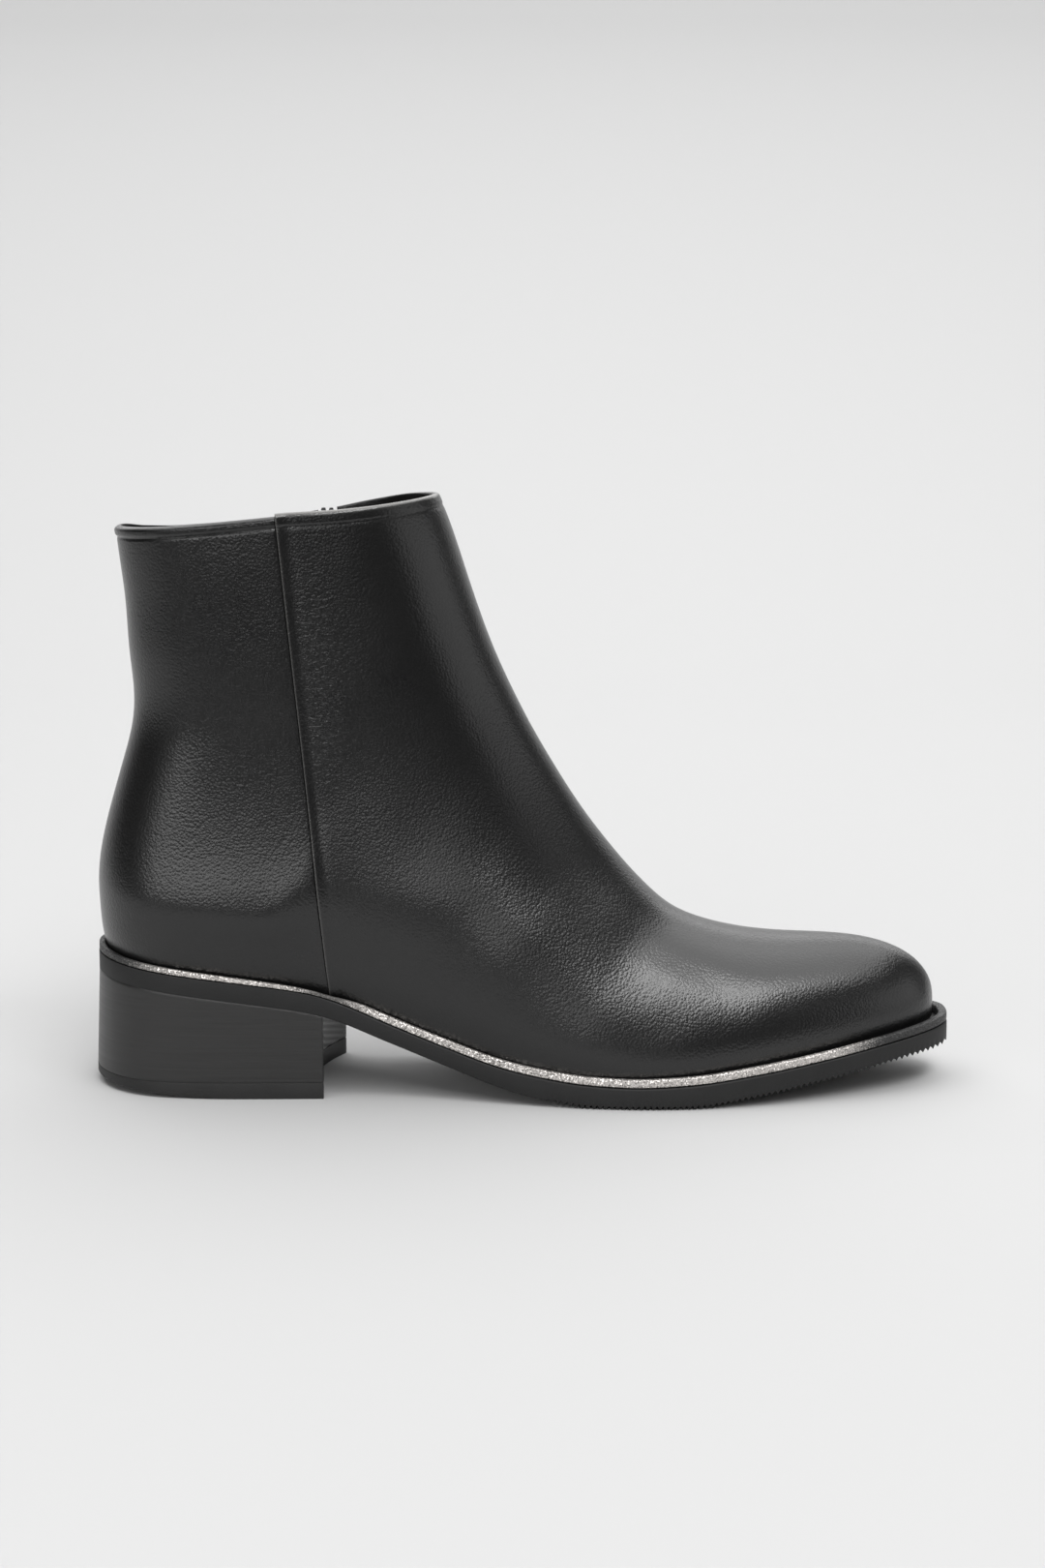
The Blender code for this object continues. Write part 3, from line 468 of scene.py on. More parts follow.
def crease_depth(x, z, side):
    """Sum of soft troughs and ridges, faded out at the front ridge where both sides meet.

    Each is a Gaussian of the distance to a side-view segment, faded at its ends.
    """
    depth = np.zeros_like(x)
    for row in zip(*CREASES.values()):
        row_side, x0, z0, x1, z1, width, deep = row
        length = math.hypot(x1 - x0, z1 - z0)
        along = ((x - x0) * (x1 - x0) + (z - z0) * (z1 - z0)) / length**2
        beside = ((x - x0) * (z1 - z0) - (z - z0) * (x1 - x0)) / length
        begun = smooth_step((along + CREASE_END) / CREASE_FADE)
        ended = smooth_step((1 + CREASE_END - along) / CREASE_FADE)
        depth += (side == row_side) * deep * begun * ended * np.exp(-(beside / width) ** 2)
    return depth * smooth_step(behind_front(x, z) / RIDGE_FADE)


def hand_waves(x, y, z):
    """Slow unevenness of hand-lasted leather: a sum of long sine waves across each other."""
    return sum(
        height * np.sin(x / along_x + y / along_y + z / along_z + start)
        for height, along_x, along_y, along_z, start in zip(*HAND_WAVES.values())
    )


def leather_shell(points, proud, thick, rounds):
    """Outer and inner face of a leather panel, rounded over towards each other at its edges.

    At the first column, the last column, the foot and the rim the outer face is rounded by its own radius,
    and the inner face by the rest of the thickness, up to a share of that radius.
    """
    normal = outward_normals(points)
    edges = list(zip(edge_distance(points), rounds))
    outer_drop = np.max([round_over(distance, radius) for distance, radius in edges], 0)
    inner_drop = np.max([
        round_over(distance, np.minimum(thick - radius, INNER_ROUND_MOST * radius))
        for distance, radius in edges
    ], 0)
    inner_drop = np.minimum(inner_drop, thick - outer_drop)
    outer = points + normal * (proud - outer_drop)[..., None]
    inner = points + normal * (proud - thick + inner_drop)[..., None]
    return outer, inner


def shell_faces(outer, inner):
    """Points and faces of a closed shell between two grids of one size, with faces all round its rim."""
    rows, columns = outer.shape[:2]
    count = rows * columns
    quads = grid_quads(rows, columns)
    number = np.arange(count).reshape(rows, columns)
    rim = np.concatenate([number[:-1, 0], number[-1, :-1], number[:0:-1, -1], number[0, :0:-1]])
    ahead = np.roll(rim, -1)
    sides = np.stack([rim, ahead, ahead + count, rim + count], -1)
    points = np.concatenate([outer.reshape(-1, 3), inner.reshape(-1, 3)])
    return points, np.concatenate([quads, quads[:, ::-1] + count, sides])


FOOT_X, TIP_X = float(back_line(0.0)[0]), float(front_line(0.0)[0])
OUTLINE_STATIONS = 200


def even_stations(count):
    """Places along X from heel to toe, closer at both ends."""
    return (FOOT_X + TIP_X) / 2 - (TIP_X - FOOT_X) / 2 * np.cos(np.linspace(0, math.pi, count))


def feather_loop(x):
    """Lower edge of the upper in plan: outer side from heel to toe, then inner side back to the heel."""
    outer = np.stack([x, skin_y(x, feather_z(x), LATERAL)], -1)
    inner = np.stack([x, skin_y(x, feather_z(x), MEDIAL)], -1)
    return np.concatenate([outer, inner[-2:0:-1]])


def grown_loop(loop, amount):
    """A closed plan loop moved outwards along its normals."""
    along = np.roll(loop, -1, 0) - np.roll(loop, 1, 0)
    normal = np.stack([along[:, 1], -along[:, 0]], -1)
    normal /= np.linalg.norm(normal, axis=1, keepdims=True)
    return loop + normal * np.asarray(amount)[..., None]


EDGE_HEEL, EDGE_TOE, EDGE_TOE_X = 2.9, 4.9, 128.0


def edge_overhang(x):
    """How far the outsole stands out from the upper."""
    return EDGE_HEEL + (EDGE_TOE - EDGE_HEEL) * smooth_step(x / EDGE_TOE_X)


def outsole_loop(x):
    """Edge of the outsole in plan, from the lower edge of the upper at these places."""
    loop = feather_loop(x)
    return grown_loop(loop, edge_overhang(loop[:, 0]))


def frame_shift():
    """From the last's millimetres to the frame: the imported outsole's middle less its outline's middle."""
    low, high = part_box("outsole")
    loop = outsole_loop(even_stations(OUTLINE_STATIONS))
    middle = (loop.min(0) + loop.max(0)) / 2
    return np.array([(low.x + high.x) / 2 / MM - middle[0], (low.y + high.y) / 2 / MM - middle[1], 0.0])


SHIFT = frame_shift()
SHARP_ANGLE, MERGE, SLIVER = 50.0, 0.002, 0.001


def add_piece(name, points, faces, material, body, slot, replaced, marks=None):
    """Closed mesh on its body: points that fall together are joined, and faces turned outwards.

    Marks are named values, one for each point, that the material reads as attributes.
    """
    mesh = bpy.data.meshes.new(name)
    mesh.from_pydata(((np.asarray(points) + SHIFT) * MM).tolist(), [], np.asarray(faces).tolist())
    for mark, values in (marks or {}).items():
        mesh.attributes.new(mark, "FLOAT", "POINT").data.foreach_set("value", values)
    work = bmesh.new()
    work.from_mesh(mesh)
    bmesh.ops.remove_doubles(work, verts=work.verts, dist=MERGE * MM)
    bmesh.ops.dissolve_degenerate(work, edges=work.edges, dist=SLIVER * MM)
    bmesh.ops.recalc_face_normals(work, faces=work.faces)
    work.to_mesh(mesh)
    work.free()
    mesh.shade_smooth()
    mesh.set_sharp_from_angle(angle=math.radians(SHARP_ANGLE))
    mesh.materials.append(material)
    piece = bpy.data.objects.new(name, mesh)
    scene.collection.objects.link(piece)
    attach(piece, body)
    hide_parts(*replaced)


def add_node(tree, kind, sockets=None, **settings):
    """Shader node with its settings, and its sockets set to values or linked to other nodes' outputs."""
    made = tree.nodes.new("ShaderNode" + kind)
    for name, value in settings.items():
        setattr(made, name, value)
    for name, value in (sockets or {}).items():
        if isinstance(value, bpy.types.NodeSocket):
            tree.links.new(value, made.inputs[name])
        else:
            made.inputs[name].default_value = value
    return made


def noise(tree, vector, scale, detail=2.0):
    """Noise value on a vector."""
    return add_node(tree, "TexNoise", {"Vector": vector, "Scale": scale, "Detail": detail}).outputs["Fac"]


def calculate(tree, operation, first, second):
    """Result of one arithmetic step on two values or sockets."""
    return add_node(tree, "Math", {0: first, 1: second}, operation=operation).outputs["Value"]


def between(tree, value, low, high):
    """A value from zero to one, mapped to the range from low to high."""
    return add_node(tree, "MapRange", {"Value": value, "To Min": low, "To Max": high}).outputs["Result"]


def mix_colour(tree, factor, first, second):
    """Colour between two, by a value from zero to one."""
    return add_node(tree, "Mix", {0: factor, 6: first, 7: second}, data_type="RGBA").outputs[2]


def shifted(tree, vector, aside, amount):
    """A vector moved by an amount of another one."""
    sockets = {0: aside, 1: (amount, amount, amount), 2: vector}
    return add_node(tree, "VectorMath", sockets, operation="MULTIPLY_ADD").outputs[0]


def stretched(tree, vector, scale):
    """A vector scaled along X, Y and Z, so that its pattern is stretched where the scale is small."""
    return add_node(tree, "Mapping", {"Vector": vector, "Scale": scale}).outputs["Vector"]


def patterned_material(name, sockets):
    """Principled material, and the place on the piece that its patterns are worked out from."""
    material, tree, shader = new_material(name, sockets)
    return material, tree, shader, add_node(tree, "TexCoord").outputs["Object"]


def raise_surface(tree, shader, height, strength, depth):
    """Bump by a height from zero to one, as deep as given in metres."""
    bump = add_node(tree, "Bump", {"Strength": strength, "Distance": depth, "Height": height})
    tree.links.new(bump.outputs["Normal"], shader.inputs["Normal"])


def grained_leather():
    """Pebbled leather: warped cells, pores and marked wrinkles in the bump, slow variation in the rest, and a
    painted highlight, a paler colour where its mark is set.
    """
    leather = {"Specular IOR Level": LEATHER_SPECULAR}
    material, tree, shader, place = patterned_material("black_leather", leather)
    warp = add_node(tree, "TexNoise", {"Vector": place, "Scale": WARP_SCALE, "Detail": 2.0}).outputs["Color"]
    moved = shifted(tree, place, warp, WARP_DEPTH)
    cells = add_node(tree, "TexVoronoi", {"Vector": moved, "Scale": GRAIN_SCALE}).outputs["Distance"]
    domes = calculate(tree, "MULTIPLY", calculate(tree, "SUBTRACT", 1.0, cells), DOME_SHARE)
    pores = calculate(tree, "MULTIPLY", noise(tree, place, PORE_SCALE), PORE_SHARE)
    level = stretched(tree, place, WRINKLE_STRETCH)
    marked = add_node(tree, "Attribute", attribute_name="wrinkles").outputs["Fac"]
    folds = calculate(tree, "MULTIPLY", noise(tree, level, WRINKLE_SCALE), marked)
    height = calculate(tree, "ADD", calculate(tree, "ADD", domes, pores), folds)
    raise_surface(tree, shader, height, GRAIN_STRENGTH, GRAIN_DEPTH)
    slow = noise(tree, place, SLOW_SCALE, SLOW_DETAIL)
    tree.links.new(between(tree, slow, *LEATHER_ROUGHNESS), shader.inputs["Roughness"])
    # Painted highlight: the mark mixes in a paler colour for light caught on the panel's edges.
    cut = add_node(tree, "Attribute", attribute_name="cut").outputs["Fac"]
    dyed = mix_colour(tree, slow, LEATHER_DARK, LEATHER_LIGHT)
    tree.links.new(mix_colour(tree, cut, dyed, PAINTED_HIGHLIGHT_COLOUR), shader.inputs["Base Color"])
    return material


black_leather = grained_leather()


def turned_thickness(v):
    """Single leather below, double where the top edge is turned over."""
    return LEATHER + (TURNED - LEATHER) * smooth_step((v - TURN_START) / TURN_FADE)


def seam_lap(ahead):
    """Lap over the quarter: an edge that stands proud, a soft valley where it ends and a slow lift."""
    edge = SEAM_STEP * np.exp(-((ahead / SEAM_EDGE) ** 2))
    valley = VALLEY_DEPTH * np.exp(-(((ahead - VALLEY_AHEAD) / VALLEY_HALF) ** 2))
    return edge - valley + SEAM_LIFT * np.exp(-ahead / SEAM_FADE)


def top_fold(below):
    """Turned-over top edge: slightly proud, with a faint groove where the turned leather ends."""
    fold = FOLD_PROUD * (1 - smooth_step((below - FOLD_HEIGHT) / FOLD_FADE))
    return fold - FOLD_GROOVE * np.exp(-(((below - FOLD_HEIGHT - FOLD_FADE) / FOLD_FADE) ** 2))


def seam_wrinkles(ahead, z):
    """Where the fine wrinkles are: a band beside the seam, between the ankle and the collar."""
    beside = WRINKLE_SHARE * np.exp(-(((ahead - WRINKLE_AHEAD) / WRINKLE_HALF) ** 2))
    above = smooth_step((z - WRINKLE_LOW) / WRINKLE_FADE)
    below = smooth_step((WRINKLE_HIGH - z) / WRINKLE_FADE)
    return beside * above * below


def front_panel():
    """Outer half from the seam to the ridge, then inner half from the ridge to the zip, and both marks."""
    v = panel_rows()
    seam = straight_line(SEAM_FOOT_X, SEAM_TOP_X, LATERAL, lambda rise: SEAM_GAP)
    slot = straight_line(ZIP_FOOT_X, ZIP_TOP_X, MEDIAL, slot_half)
    outer = half_skin(front_line, seam, crowded(FRONT_COLUMNS[0]), v, LATERAL)
    inner = half_skin(front_line, slot, crowded(FRONT_COLUMNS[1]), v, MEDIAL)
    ahead = run_along(outer, 1)
    outer[..., 2] += CORNER_RISE * np.exp(-(ahead / CORNER_LENGTH) ** 2) * v[:, None] ** CORNER_POWER
    proud = [
        seam_lap(ahead) - crease_depth(outer[..., 0], outer[..., 2], LATERAL),
        -crease_depth(inner[..., 0], inner[..., 2], MEDIAL)[:, -2::-1],
    ]
    points = np.concatenate([outer, inner[:, -2::-1]], 1)
    proud = np.concatenate(proud, 1) + hand_waves(*np.moveaxis(points, -1, 0))
    proud += top_fold(edge_distance(points)[3])
    rounds = (SEAM_ROUND, EDGE_ROUND, EDGE_ROUND, RIM_ROUND)
    shell = leather_shell(points, proud, turned_thickness(v)[:, None], rounds)
    # Both marks on the outer and the inner face, row by row
    marks = np.zeros((2, 2, *points.shape[:2]))
    marks[0, :, :, :outer.shape[1]] = seam_wrinkles(ahead, outer[..., 2])
    # Painted highlight on the outer face: a paler colour along the lapped seam edge and the turned top edge,
    # for light caught there.
    seam_highlight = SEAM_HIGHLIGHT_SHARE * np.exp(-((ahead / SEAM_HIGHLIGHT_WIDE) ** 2))
    rim_highlight = RIM_HIGHLIGHT_SHARE * np.exp(-((edge_distance(outer)[3] / RIM_HIGHLIGHT_WIDE) ** 2))
    marks[1, 0, :, :outer.shape[1]] = np.maximum(seam_highlight, rim_highlight)
    return *shell_faces(*shell), dict(zip(("wrinkles", "cut"), marks.reshape(2, -1)))


*panel_mesh, panel_marks = front_panel()
add_piece("front_panel", *panel_mesh, black_leather, "boot", "upper_leather", ["upper"], panel_marks)


# Back quarter
# The same leather, from the outer seam round the heel to the zip. Its top edge is rolled into a thick rim
# with a narrow groove below it, and its front edge goes under the front panel at the seam.

ROLL_HEIGHT, ROLL_PROUD, ROLL_GROOVE, GROOVE_HALF = 3.3, 0.45, 0.3, 0.5
UNDER_LAP, UNDER_LENGTH = 0.25, 1.6
BACK_COLUMNS = 52, 44                    # on the outer and the inner side, beside those at the edge


def rim_roll(below):
    """Flattened round of the rolled rim over its height, and a narrow groove just under it."""
    roll = ROLL_PROUD * np.clip(1 - (2 * below / ROLL_HEIGHT - 1) ** 4, 0, None)
    groove = ROLL_GROOVE * np.exp(-(((below - ROLL_HEIGHT) / GROOVE_HALF) ** 2))
    return roll - groove


def back_quarter():
    """Inner half from the zip to the ridge at the back, then the outer half from the ridge to the seam."""
    v = panel_rows()
    slot = straight_line(ZIP_FOOT_X, ZIP_TOP_X, MEDIAL, lambda rise: -slot_half(rise))
    seam = straight_line(SEAM_FOOT_X, SEAM_TOP_X, LATERAL, lambda rise: -SEAM_GAP)
    inner = half_skin(back_line, slot, crowded(BACK_COLUMNS[1]), v, MEDIAL)
    outer = half_skin(back_line, seam, crowded(BACK_COLUMNS[0]), v, LATERAL)
    under = UNDER_LAP * np.exp(-run_along(outer, 1) / UNDER_LENGTH)
    proud = [
        -crease_depth(inner[..., 0], inner[..., 2], MEDIAL),
        (-under - crease_depth(outer[..., 0], outer[..., 2], LATERAL))[:, -2::-1],
    ]
    points = np.concatenate([inner, outer[:, -2::-1]], 1)
    proud = np.concatenate(proud, 1) + hand_waves(*np.moveaxis(points, -1, 0))
    proud += rim_roll(edge_distance(points)[3])
    rounds = (EDGE_ROUND, SEAM_ROUND, EDGE_ROUND, RIM_ROUND)
    return shell_faces(*leather_shell(points, proud, turned_thickness(v)[:, None], rounds))


add_piece("back_quarter", *back_quarter(), black_leather, "boot", "upper_leather", ["upper"])


# Lining
# A matt charcoal lining cemented inside both panels, from the sole up to the turned-over leather edge, and
# open where the zip is.

LINING_OUTER, LINING_THICK, LINING_TOP = 1.38, 0.55, 0.952
LINING_SLOT = 0.8                        # stands back from the leather's edge at the zip
LINING_ROWS, LINING_COLUMNS = 90, 44
LINING_DARK, LINING_LIGHT = (0.045, 0.043, 0.041, 1), (0.075, 0.072, 0.069, 1)
LINING_ROUGHNESS, LINING_SHEEN = 0.9, 0.25
FIBRE_SCALE, FIBRE_DETAIL, FIBRE_BUMP = 2400.0, 3.0, (0.5, 0.0002)
PILE_SCALE = 60.0


def lining_cloth():
    """Brushed textile: fine noise in bump and colour over a slow variation, with a little sheen."""
    cloth = {"Roughness": LINING_ROUGHNESS, "Sheen Weight": LINING_SHEEN}
    material, tree, shader, place = patterned_material("charcoal_lining", cloth)
    fibres = noise(tree, place, FIBRE_SCALE, FIBRE_DETAIL)
    raise_surface(tree, shader, fibres, *FIBRE_BUMP)
    both = calculate(tree, "ADD", fibres, noise(tree, place, PILE_SCALE))
    shade = calculate(tree, "MULTIPLY", both, 0.5)
    tree.links.new(mix_colour(tree, shade, LINING_DARK, LINING_LIGHT), shader.inputs["Base Color"])
    return material


charcoal_lining = lining_cloth()


def joined(*parts):
    """Points and faces of several meshes as one."""
    starts = np.cumsum([0] + [len(points) for points, faces in parts[:-1]])
    points = np.concatenate([part[0] for part in parts])
    return points, np.concatenate([part[1] + start for part, start in zip(parts, starts)])


def lining_half(ridge_line, direction):
    """Lining of one panel, as its skin grid at two depths."""
    def slot_aside(rise):
        return direction * (slot_half(rise) + LINING_SLOT)

    v = np.linspace(0, LINING_TOP, LINING_ROWS)
    across = np.sin(np.linspace(0, math.pi / 2, LINING_COLUMNS))
    seam = straight_line(SEAM_FOOT_X, SEAM_TOP_X, LATERAL, lambda rise: direction * SEAM_GAP)
    slot = straight_line(ZIP_FOOT_X, ZIP_TOP_X, MEDIAL, slot_aside)
    first = half_skin(ridge_line, seam, across, v, LATERAL)
    second = half_skin(ridge_line, slot, across, v, MEDIAL)
    points = np.concatenate([first, second[:, -2::-1]], 1)
    normal = outward_normals(points) * direction
    first_sunk = crease_depth(first[..., 0], first[..., 2], LATERAL)
    second_sunk = crease_depth(second[..., 0], second[..., 2], MEDIAL)
    depth = LINING_OUTER + np.concatenate([first_sunk, second_sunk[:, -2::-1]], 1)[..., None]
    return shell_faces(points - normal * depth, points - normal * (depth + LINING_THICK))


lining = joined(lining_half(front_line, 1), lining_half(back_line, -1))
add_piece("shaft_lining", *lining, charcoal_lining, "boot", "insole_lining", ["upper"])


# Zip tape and teeth
# Black woven tape sewn behind the slot on the inner side, with two rows of moulded teeth that lock into each
# other and two stops that stand just above the collar.

WALL = 2.0
TAPE_HALF, TAPE_THICK, TAPE_FOOT, TAPE_GAP, TAPE_DROP = 9.0, 0.6, 6.0, 1.0, 2.0
TAPE_ROWS, TAPE_COLUMNS = 90, 25
CHAIN_FOOT, STOP_RISE = 2.6, 0.4
TOOTH_PITCH, TOOTH_DEPTH, TOOTH_MIDDLE = 2.0, 1.5, 0.95
TOOTH_HALVES = (1.35, 1.15, 0.52)        # across the chain, outwards, along the chain
STOP_HALVES, STOP_ASIDE = (0.75, 1.1, 1.6), 1.25
SLOPE_STEP, RISE_STEP = 0.2, 1.0         # over which slopes and directions are taken
BLOCK_POWER, BLOCK_AROUND, BLOCK_ROWS = 0.6, 8, 6
TAPE_DARK, TAPE_LIGHT = (0.012, 0.012, 0.013, 1), (0.030, 0.030, 0.032, 1)
TAPE_ROUGHNESS, TAPE_SHEEN = 0.85, 0.15
WEAVE_SCALE, WEAVE_UNEVEN, WEAVE_BUMP = 260.0, 0.4, (0.6, 0.0002)
TOOTH_BLACK, TOOTH_MOTTLE, TOOTH_ROUGHNESS = (0.018, 0.018, 0.019, 1), 900.0, (0.25, 0.45)

zip_line = straight_line(ZIP_FOOT_X, ZIP_TOP_X, MEDIAL)
zip_span = float(zip_line(1.0)[1] - zip_line(0.0)[1])


def skin_normal(x, z, side):
    """Outward unit normal of the skin from its slopes along X and Z."""
    along = (skin_y(x + SLOPE_STEP, z, side) - skin_y(x - SLOPE_STEP, z, side)) / (2 * SLOPE_STEP)
    up = (skin_y(x, z + SLOPE_STEP, side) - skin_y(x, z - SLOPE_STEP, side)) / (2 * SLOPE_STEP)
    normal = np.stack([-along * side, np.full_like(along, side), -up * side], -1)
    return normal / np.linalg.norm(normal, axis=-1, keepdims=True)


def on_zip(rise, across, depth):
    """Point at a height above the sole along the zip, beside its line and below the skin."""
    x, z = zip_line(rise / zip_span)
    x, z = np.broadcast_arrays(x + across, z)
    skin = np.stack([x, skin_y(x, z, MEDIAL), z], -1)
    return skin - skin_normal(x, z, MEDIAL) * np.asarray(depth)[..., None]


def zip_axes(rise):
    """Across, outwards and up along the zip at each height, as unit rows."""
    here, above = on_zip(rise, 0.0, 0.0), on_zip(rise + RISE_STEP, 0.0, 0.0)
    up = (above - here) / np.linalg.norm(above - here, axis=-1, keepdims=True)
    out = skin_normal(*zip_line(rise / zip_span), MEDIAL)
    return np.stack([np.cross(out, up), out, up], -2)


def squared_up(value, power):
    """A sine or cosine with its sign kept and its size raised to a power below one, which squares a circle."""
    return np.sign(value) * np.abs(value) ** power


def blobs(centres, axes, halves, power=BLOCK_POWER):
    """Rounded blocks at many places: a squared-up sphere, stretched to its half sizes and turned by axes."""
    turn = np.linspace(0, 2 * math.pi, BLOCK_AROUND, endpoint=False)[None, :] + math.pi / BLOCK_AROUND
    tilt = np.linspace(-math.pi / 2, math.pi / 2, BLOCK_ROWS)[:, None]
    level = squared_up(np.cos(tilt), power)
    unit = np.stack(np.broadcast_arrays(
        level * squared_up(np.cos(turn), power),
        level * squared_up(np.sin(turn), power),
        squared_up(np.sin(tilt), power),
    ), -1)
    points = centres[:, None] + (unit.reshape(-1, 3) * np.asarray(halves)) @ axes
    quads = grid_quads(BLOCK_ROWS, BLOCK_AROUND, wrap=True)
    starts = np.arange(len(centres))[:, None, None] * BLOCK_ROWS * BLOCK_AROUND
    return points.reshape(-1, 3), (quads[None] + starts).reshape(-1, 4)


def woven_tape():
    """Crossed waves of warp and weft in bump and colour."""
    cloth = {"Roughness": TAPE_ROUGHNESS, "Sheen Weight": TAPE_SHEEN}
    material, tree, shader, place = patterned_material("woven_tape", cloth)
    threads = {"Vector": place, "Scale": WEAVE_SCALE, "Distortion": WEAVE_UNEVEN}
    warp, weft = (
        add_node(tree, "TexWave", threads, bands_direction=way).outputs["Fac"] for way in ("X", "Z")
    )
    weave = calculate(tree, "MULTIPLY", warp, weft)
    raise_surface(tree, shader, weave, *WEAVE_BUMP)
    tree.links.new(mix_colour(tree, weave, TAPE_DARK, TAPE_LIGHT), shader.inputs["Base Color"])
    return material


def zip_tape():
    """Tape behind the wall: a grid along and across the zip at two depths."""
    rise = np.linspace(ZIP_RISE - TAPE_FOOT, zip_span - TAPE_DROP, TAPE_ROWS)[:, None]
    across = np.linspace(-TAPE_HALF, TAPE_HALF, TAPE_COLUMNS)[None, :]
    outer = on_zip(rise, across, WALL + TAPE_GAP)
    inner = on_zip(rise, across, WALL + TAPE_GAP + TAPE_THICK)
    return shell_faces(outer, inner)


def zip_teeth():
    """Teeth at an even pitch, every other one from the other side, and a stop at the top of each row."""
    rise = np.arange(ZIP_RISE + CHAIN_FOOT, zip_span - 2 * STOP_HALVES[2], TOOTH_PITCH / 2)
    side = np.where(np.arange(len(rise)) % 2, 1.0, -1.0)
    teeth = blobs(on_zip(rise, side * TOOTH_MIDDLE, TOOTH_DEPTH), zip_axes(rise), TOOTH_HALVES)
    top = np.full(2, zip_span + STOP_RISE - STOP_HALVES[2])
    aside = np.array([-STOP_ASIDE, STOP_ASIDE])
    stops = blobs(on_zip(top, aside, TOOTH_DEPTH), zip_axes(top), STOP_HALVES)
    return joined(teeth, stops)


def moulded_black():
    """Semi-gloss black plastic with a faint mottle in its roughness."""
    material, tree, shader, place = patterned_material("moulded_black", {"Base Color": TOOTH_BLACK})
    mottle = noise(tree, place, TOOTH_MOTTLE)
    tree.links.new(between(tree, mottle, *TOOTH_ROUGHNESS), shader.inputs["Roughness"])
    return material


add_piece("zip_cloth", *zip_tape(), woven_tape(), "boot", "zip_cloth", ["zip_tape"])
add_piece("zip_teeth", *zip_teeth(), moulded_black(), "boot", "zip_cloth", ["zip_tape"])


# Zip slider and pull
# Die-cast gunmetal slider on the chain just below the collar, with two lugs and a pin, and a flat pull tab
# with a shallow dish that swings on the pin.

SLIDER_BELOW_COLLAR, SLIDER_SEAT = 12.0, 0.3
SLIDER_HALF_TOP, SLIDER_HALF_FOOT, SLIDER_HALF_TALL, SLIDER_THICK = 3.8, 2.9, 5.0, 2.2
SLIDER_POINTS, SLIDER_POWER = 48, 0.6
LUG_THICK, LUG_HALF_TALL, LUG_OUT, LUG_POINTS = 1.0, 1.8, 3.0, 16
PIN_RADIUS, PIN_OUT, PIN_AROUND = 0.6, 1.7, 20
PIN_END, PIN_TIP = 0.2, 0.75             # length of its rounded ends, and share of the radius at their tips
PULL_HALF, PULL_NECK_HALF, PULL_LONG, PULL_THICK, PULL_TOP = 2.3, 1.8, 22.0, 1.2, 1.05
PULL_NECK_LONG, PULL_NECK_FADE, PULL_DISH = 5.0, 5.0, 0.2
PULL_ROWS, PULL_END_POINTS = 30, 18
EYE_OUTER, EYE_INNER, EYE_WIDE = 1.35, 0.85, 3.6
EYE_AROUND, EYE_POINTS, EYE_POWER = 28, 16, 0.4
CAST_EDGE, LUG_EDGE, PULL_EDGE = 0.35, 0.15, 0.25
EDGE_TURN = np.linspace(0, math.pi / 2, 4)       # angles along a rounded edge
GUNMETAL, METAL_ROUGHNESS = (0.30, 0.30, 0.31, 1), (0.2, 0.42)
BRUSH_SCALE, BRUSH_STRETCH, BRUSH_BUMP = 6000.0, (1.0, 1.0, 0.08), (0.15, 0.00005)


def half_pairs(ring):
    """The two halves of a closed ring, both from its first point to the point opposite."""
    half = ring.shape[-2] // 2
    return ring[..., :half + 1, :], np.concatenate([ring[..., :1, :], ring[..., :half - 1:-1, :]], -2)


def strip_cap(ring, across=4, height=None):
    """Grid that fills a ring with strips between its two halves, at heights given along X if any."""
    first, second = half_pairs(ring)
    share = np.linspace(0, 1, across + 1)[None, :, None]
    cap = first[:, None] * (1 - share) + second[:, None] * share
    if height is not None:
        cap[:, 1:-1, 2] = height(cap[:, 1:-1, 0])
    return cap


def ring_solid(rings, low_cap, high_cap):
    """Closed solid from stacked rings, and the grids that fill the first and the last of them."""
    parts = [(rings.reshape(-1, 3), grid_quads(*rings.shape[:2], wrap=True))]
    parts += [(cap.reshape(-1, 3), grid_quads(*cap.shape[:2])) for cap in (low_cap, high_cap)]
    return joined(*parts)


def side_steps(flat, middle=()):
    """Rings up a side with both edges rounded: inset and lift in edge radii, and share of the height.

    They follow a quarter circle at each edge, and begin and end on the faces at the inset named flat.
    """
    low = [(1 - math.sin(a), 1 - math.cos(a), 0.0) for a in EDGE_TURN]
    high = [(1 - math.cos(a), math.sin(a) - 1, 1.0) for a in EDGE_TURN]
    return [(flat, 0.0, 0.0), *low, *middle, *high, (flat, 0.0, 1.0)]


def plate(outline, thick, edge, dish=0.0):
    """Flat plate from an outline, with rounded edges; a dish sinks the middle of its upper face."""
    steps = [(inset * edge, lift * edge + share * thick) for inset, lift, share in side_steps(2.0)]
    if dish:
        steps += [(3 * edge, thick), (4 * edge, thick - dish)]
    rings = np.stack([
        np.column_stack([grown_loop(outline, -inset), np.full(len(outline), height)])
        for inset, height in steps
    ])
    return ring_solid(rings, strip_cap(rings[0]), strip_cap(rings[-1]))


def slider_outline():
    """Squared ellipse, narrower at the foot, wound clockwise seen from outside so that normals point out."""
    turn = np.linspace(0, 2 * math.pi, SLIDER_POINTS, endpoint=False) + math.pi / 2
    tall = SLIDER_HALF_TALL * squared_up(np.sin(turn), SLIDER_POWER)
    share = (tall / SLIDER_HALF_TALL + 1) / 2
    wide = SLIDER_HALF_FOOT + (SLIDER_HALF_TOP - SLIDER_HALF_FOOT) * share
    return np.stack([wide * squared_up(np.cos(turn), SLIDER_POWER), tall], -1)


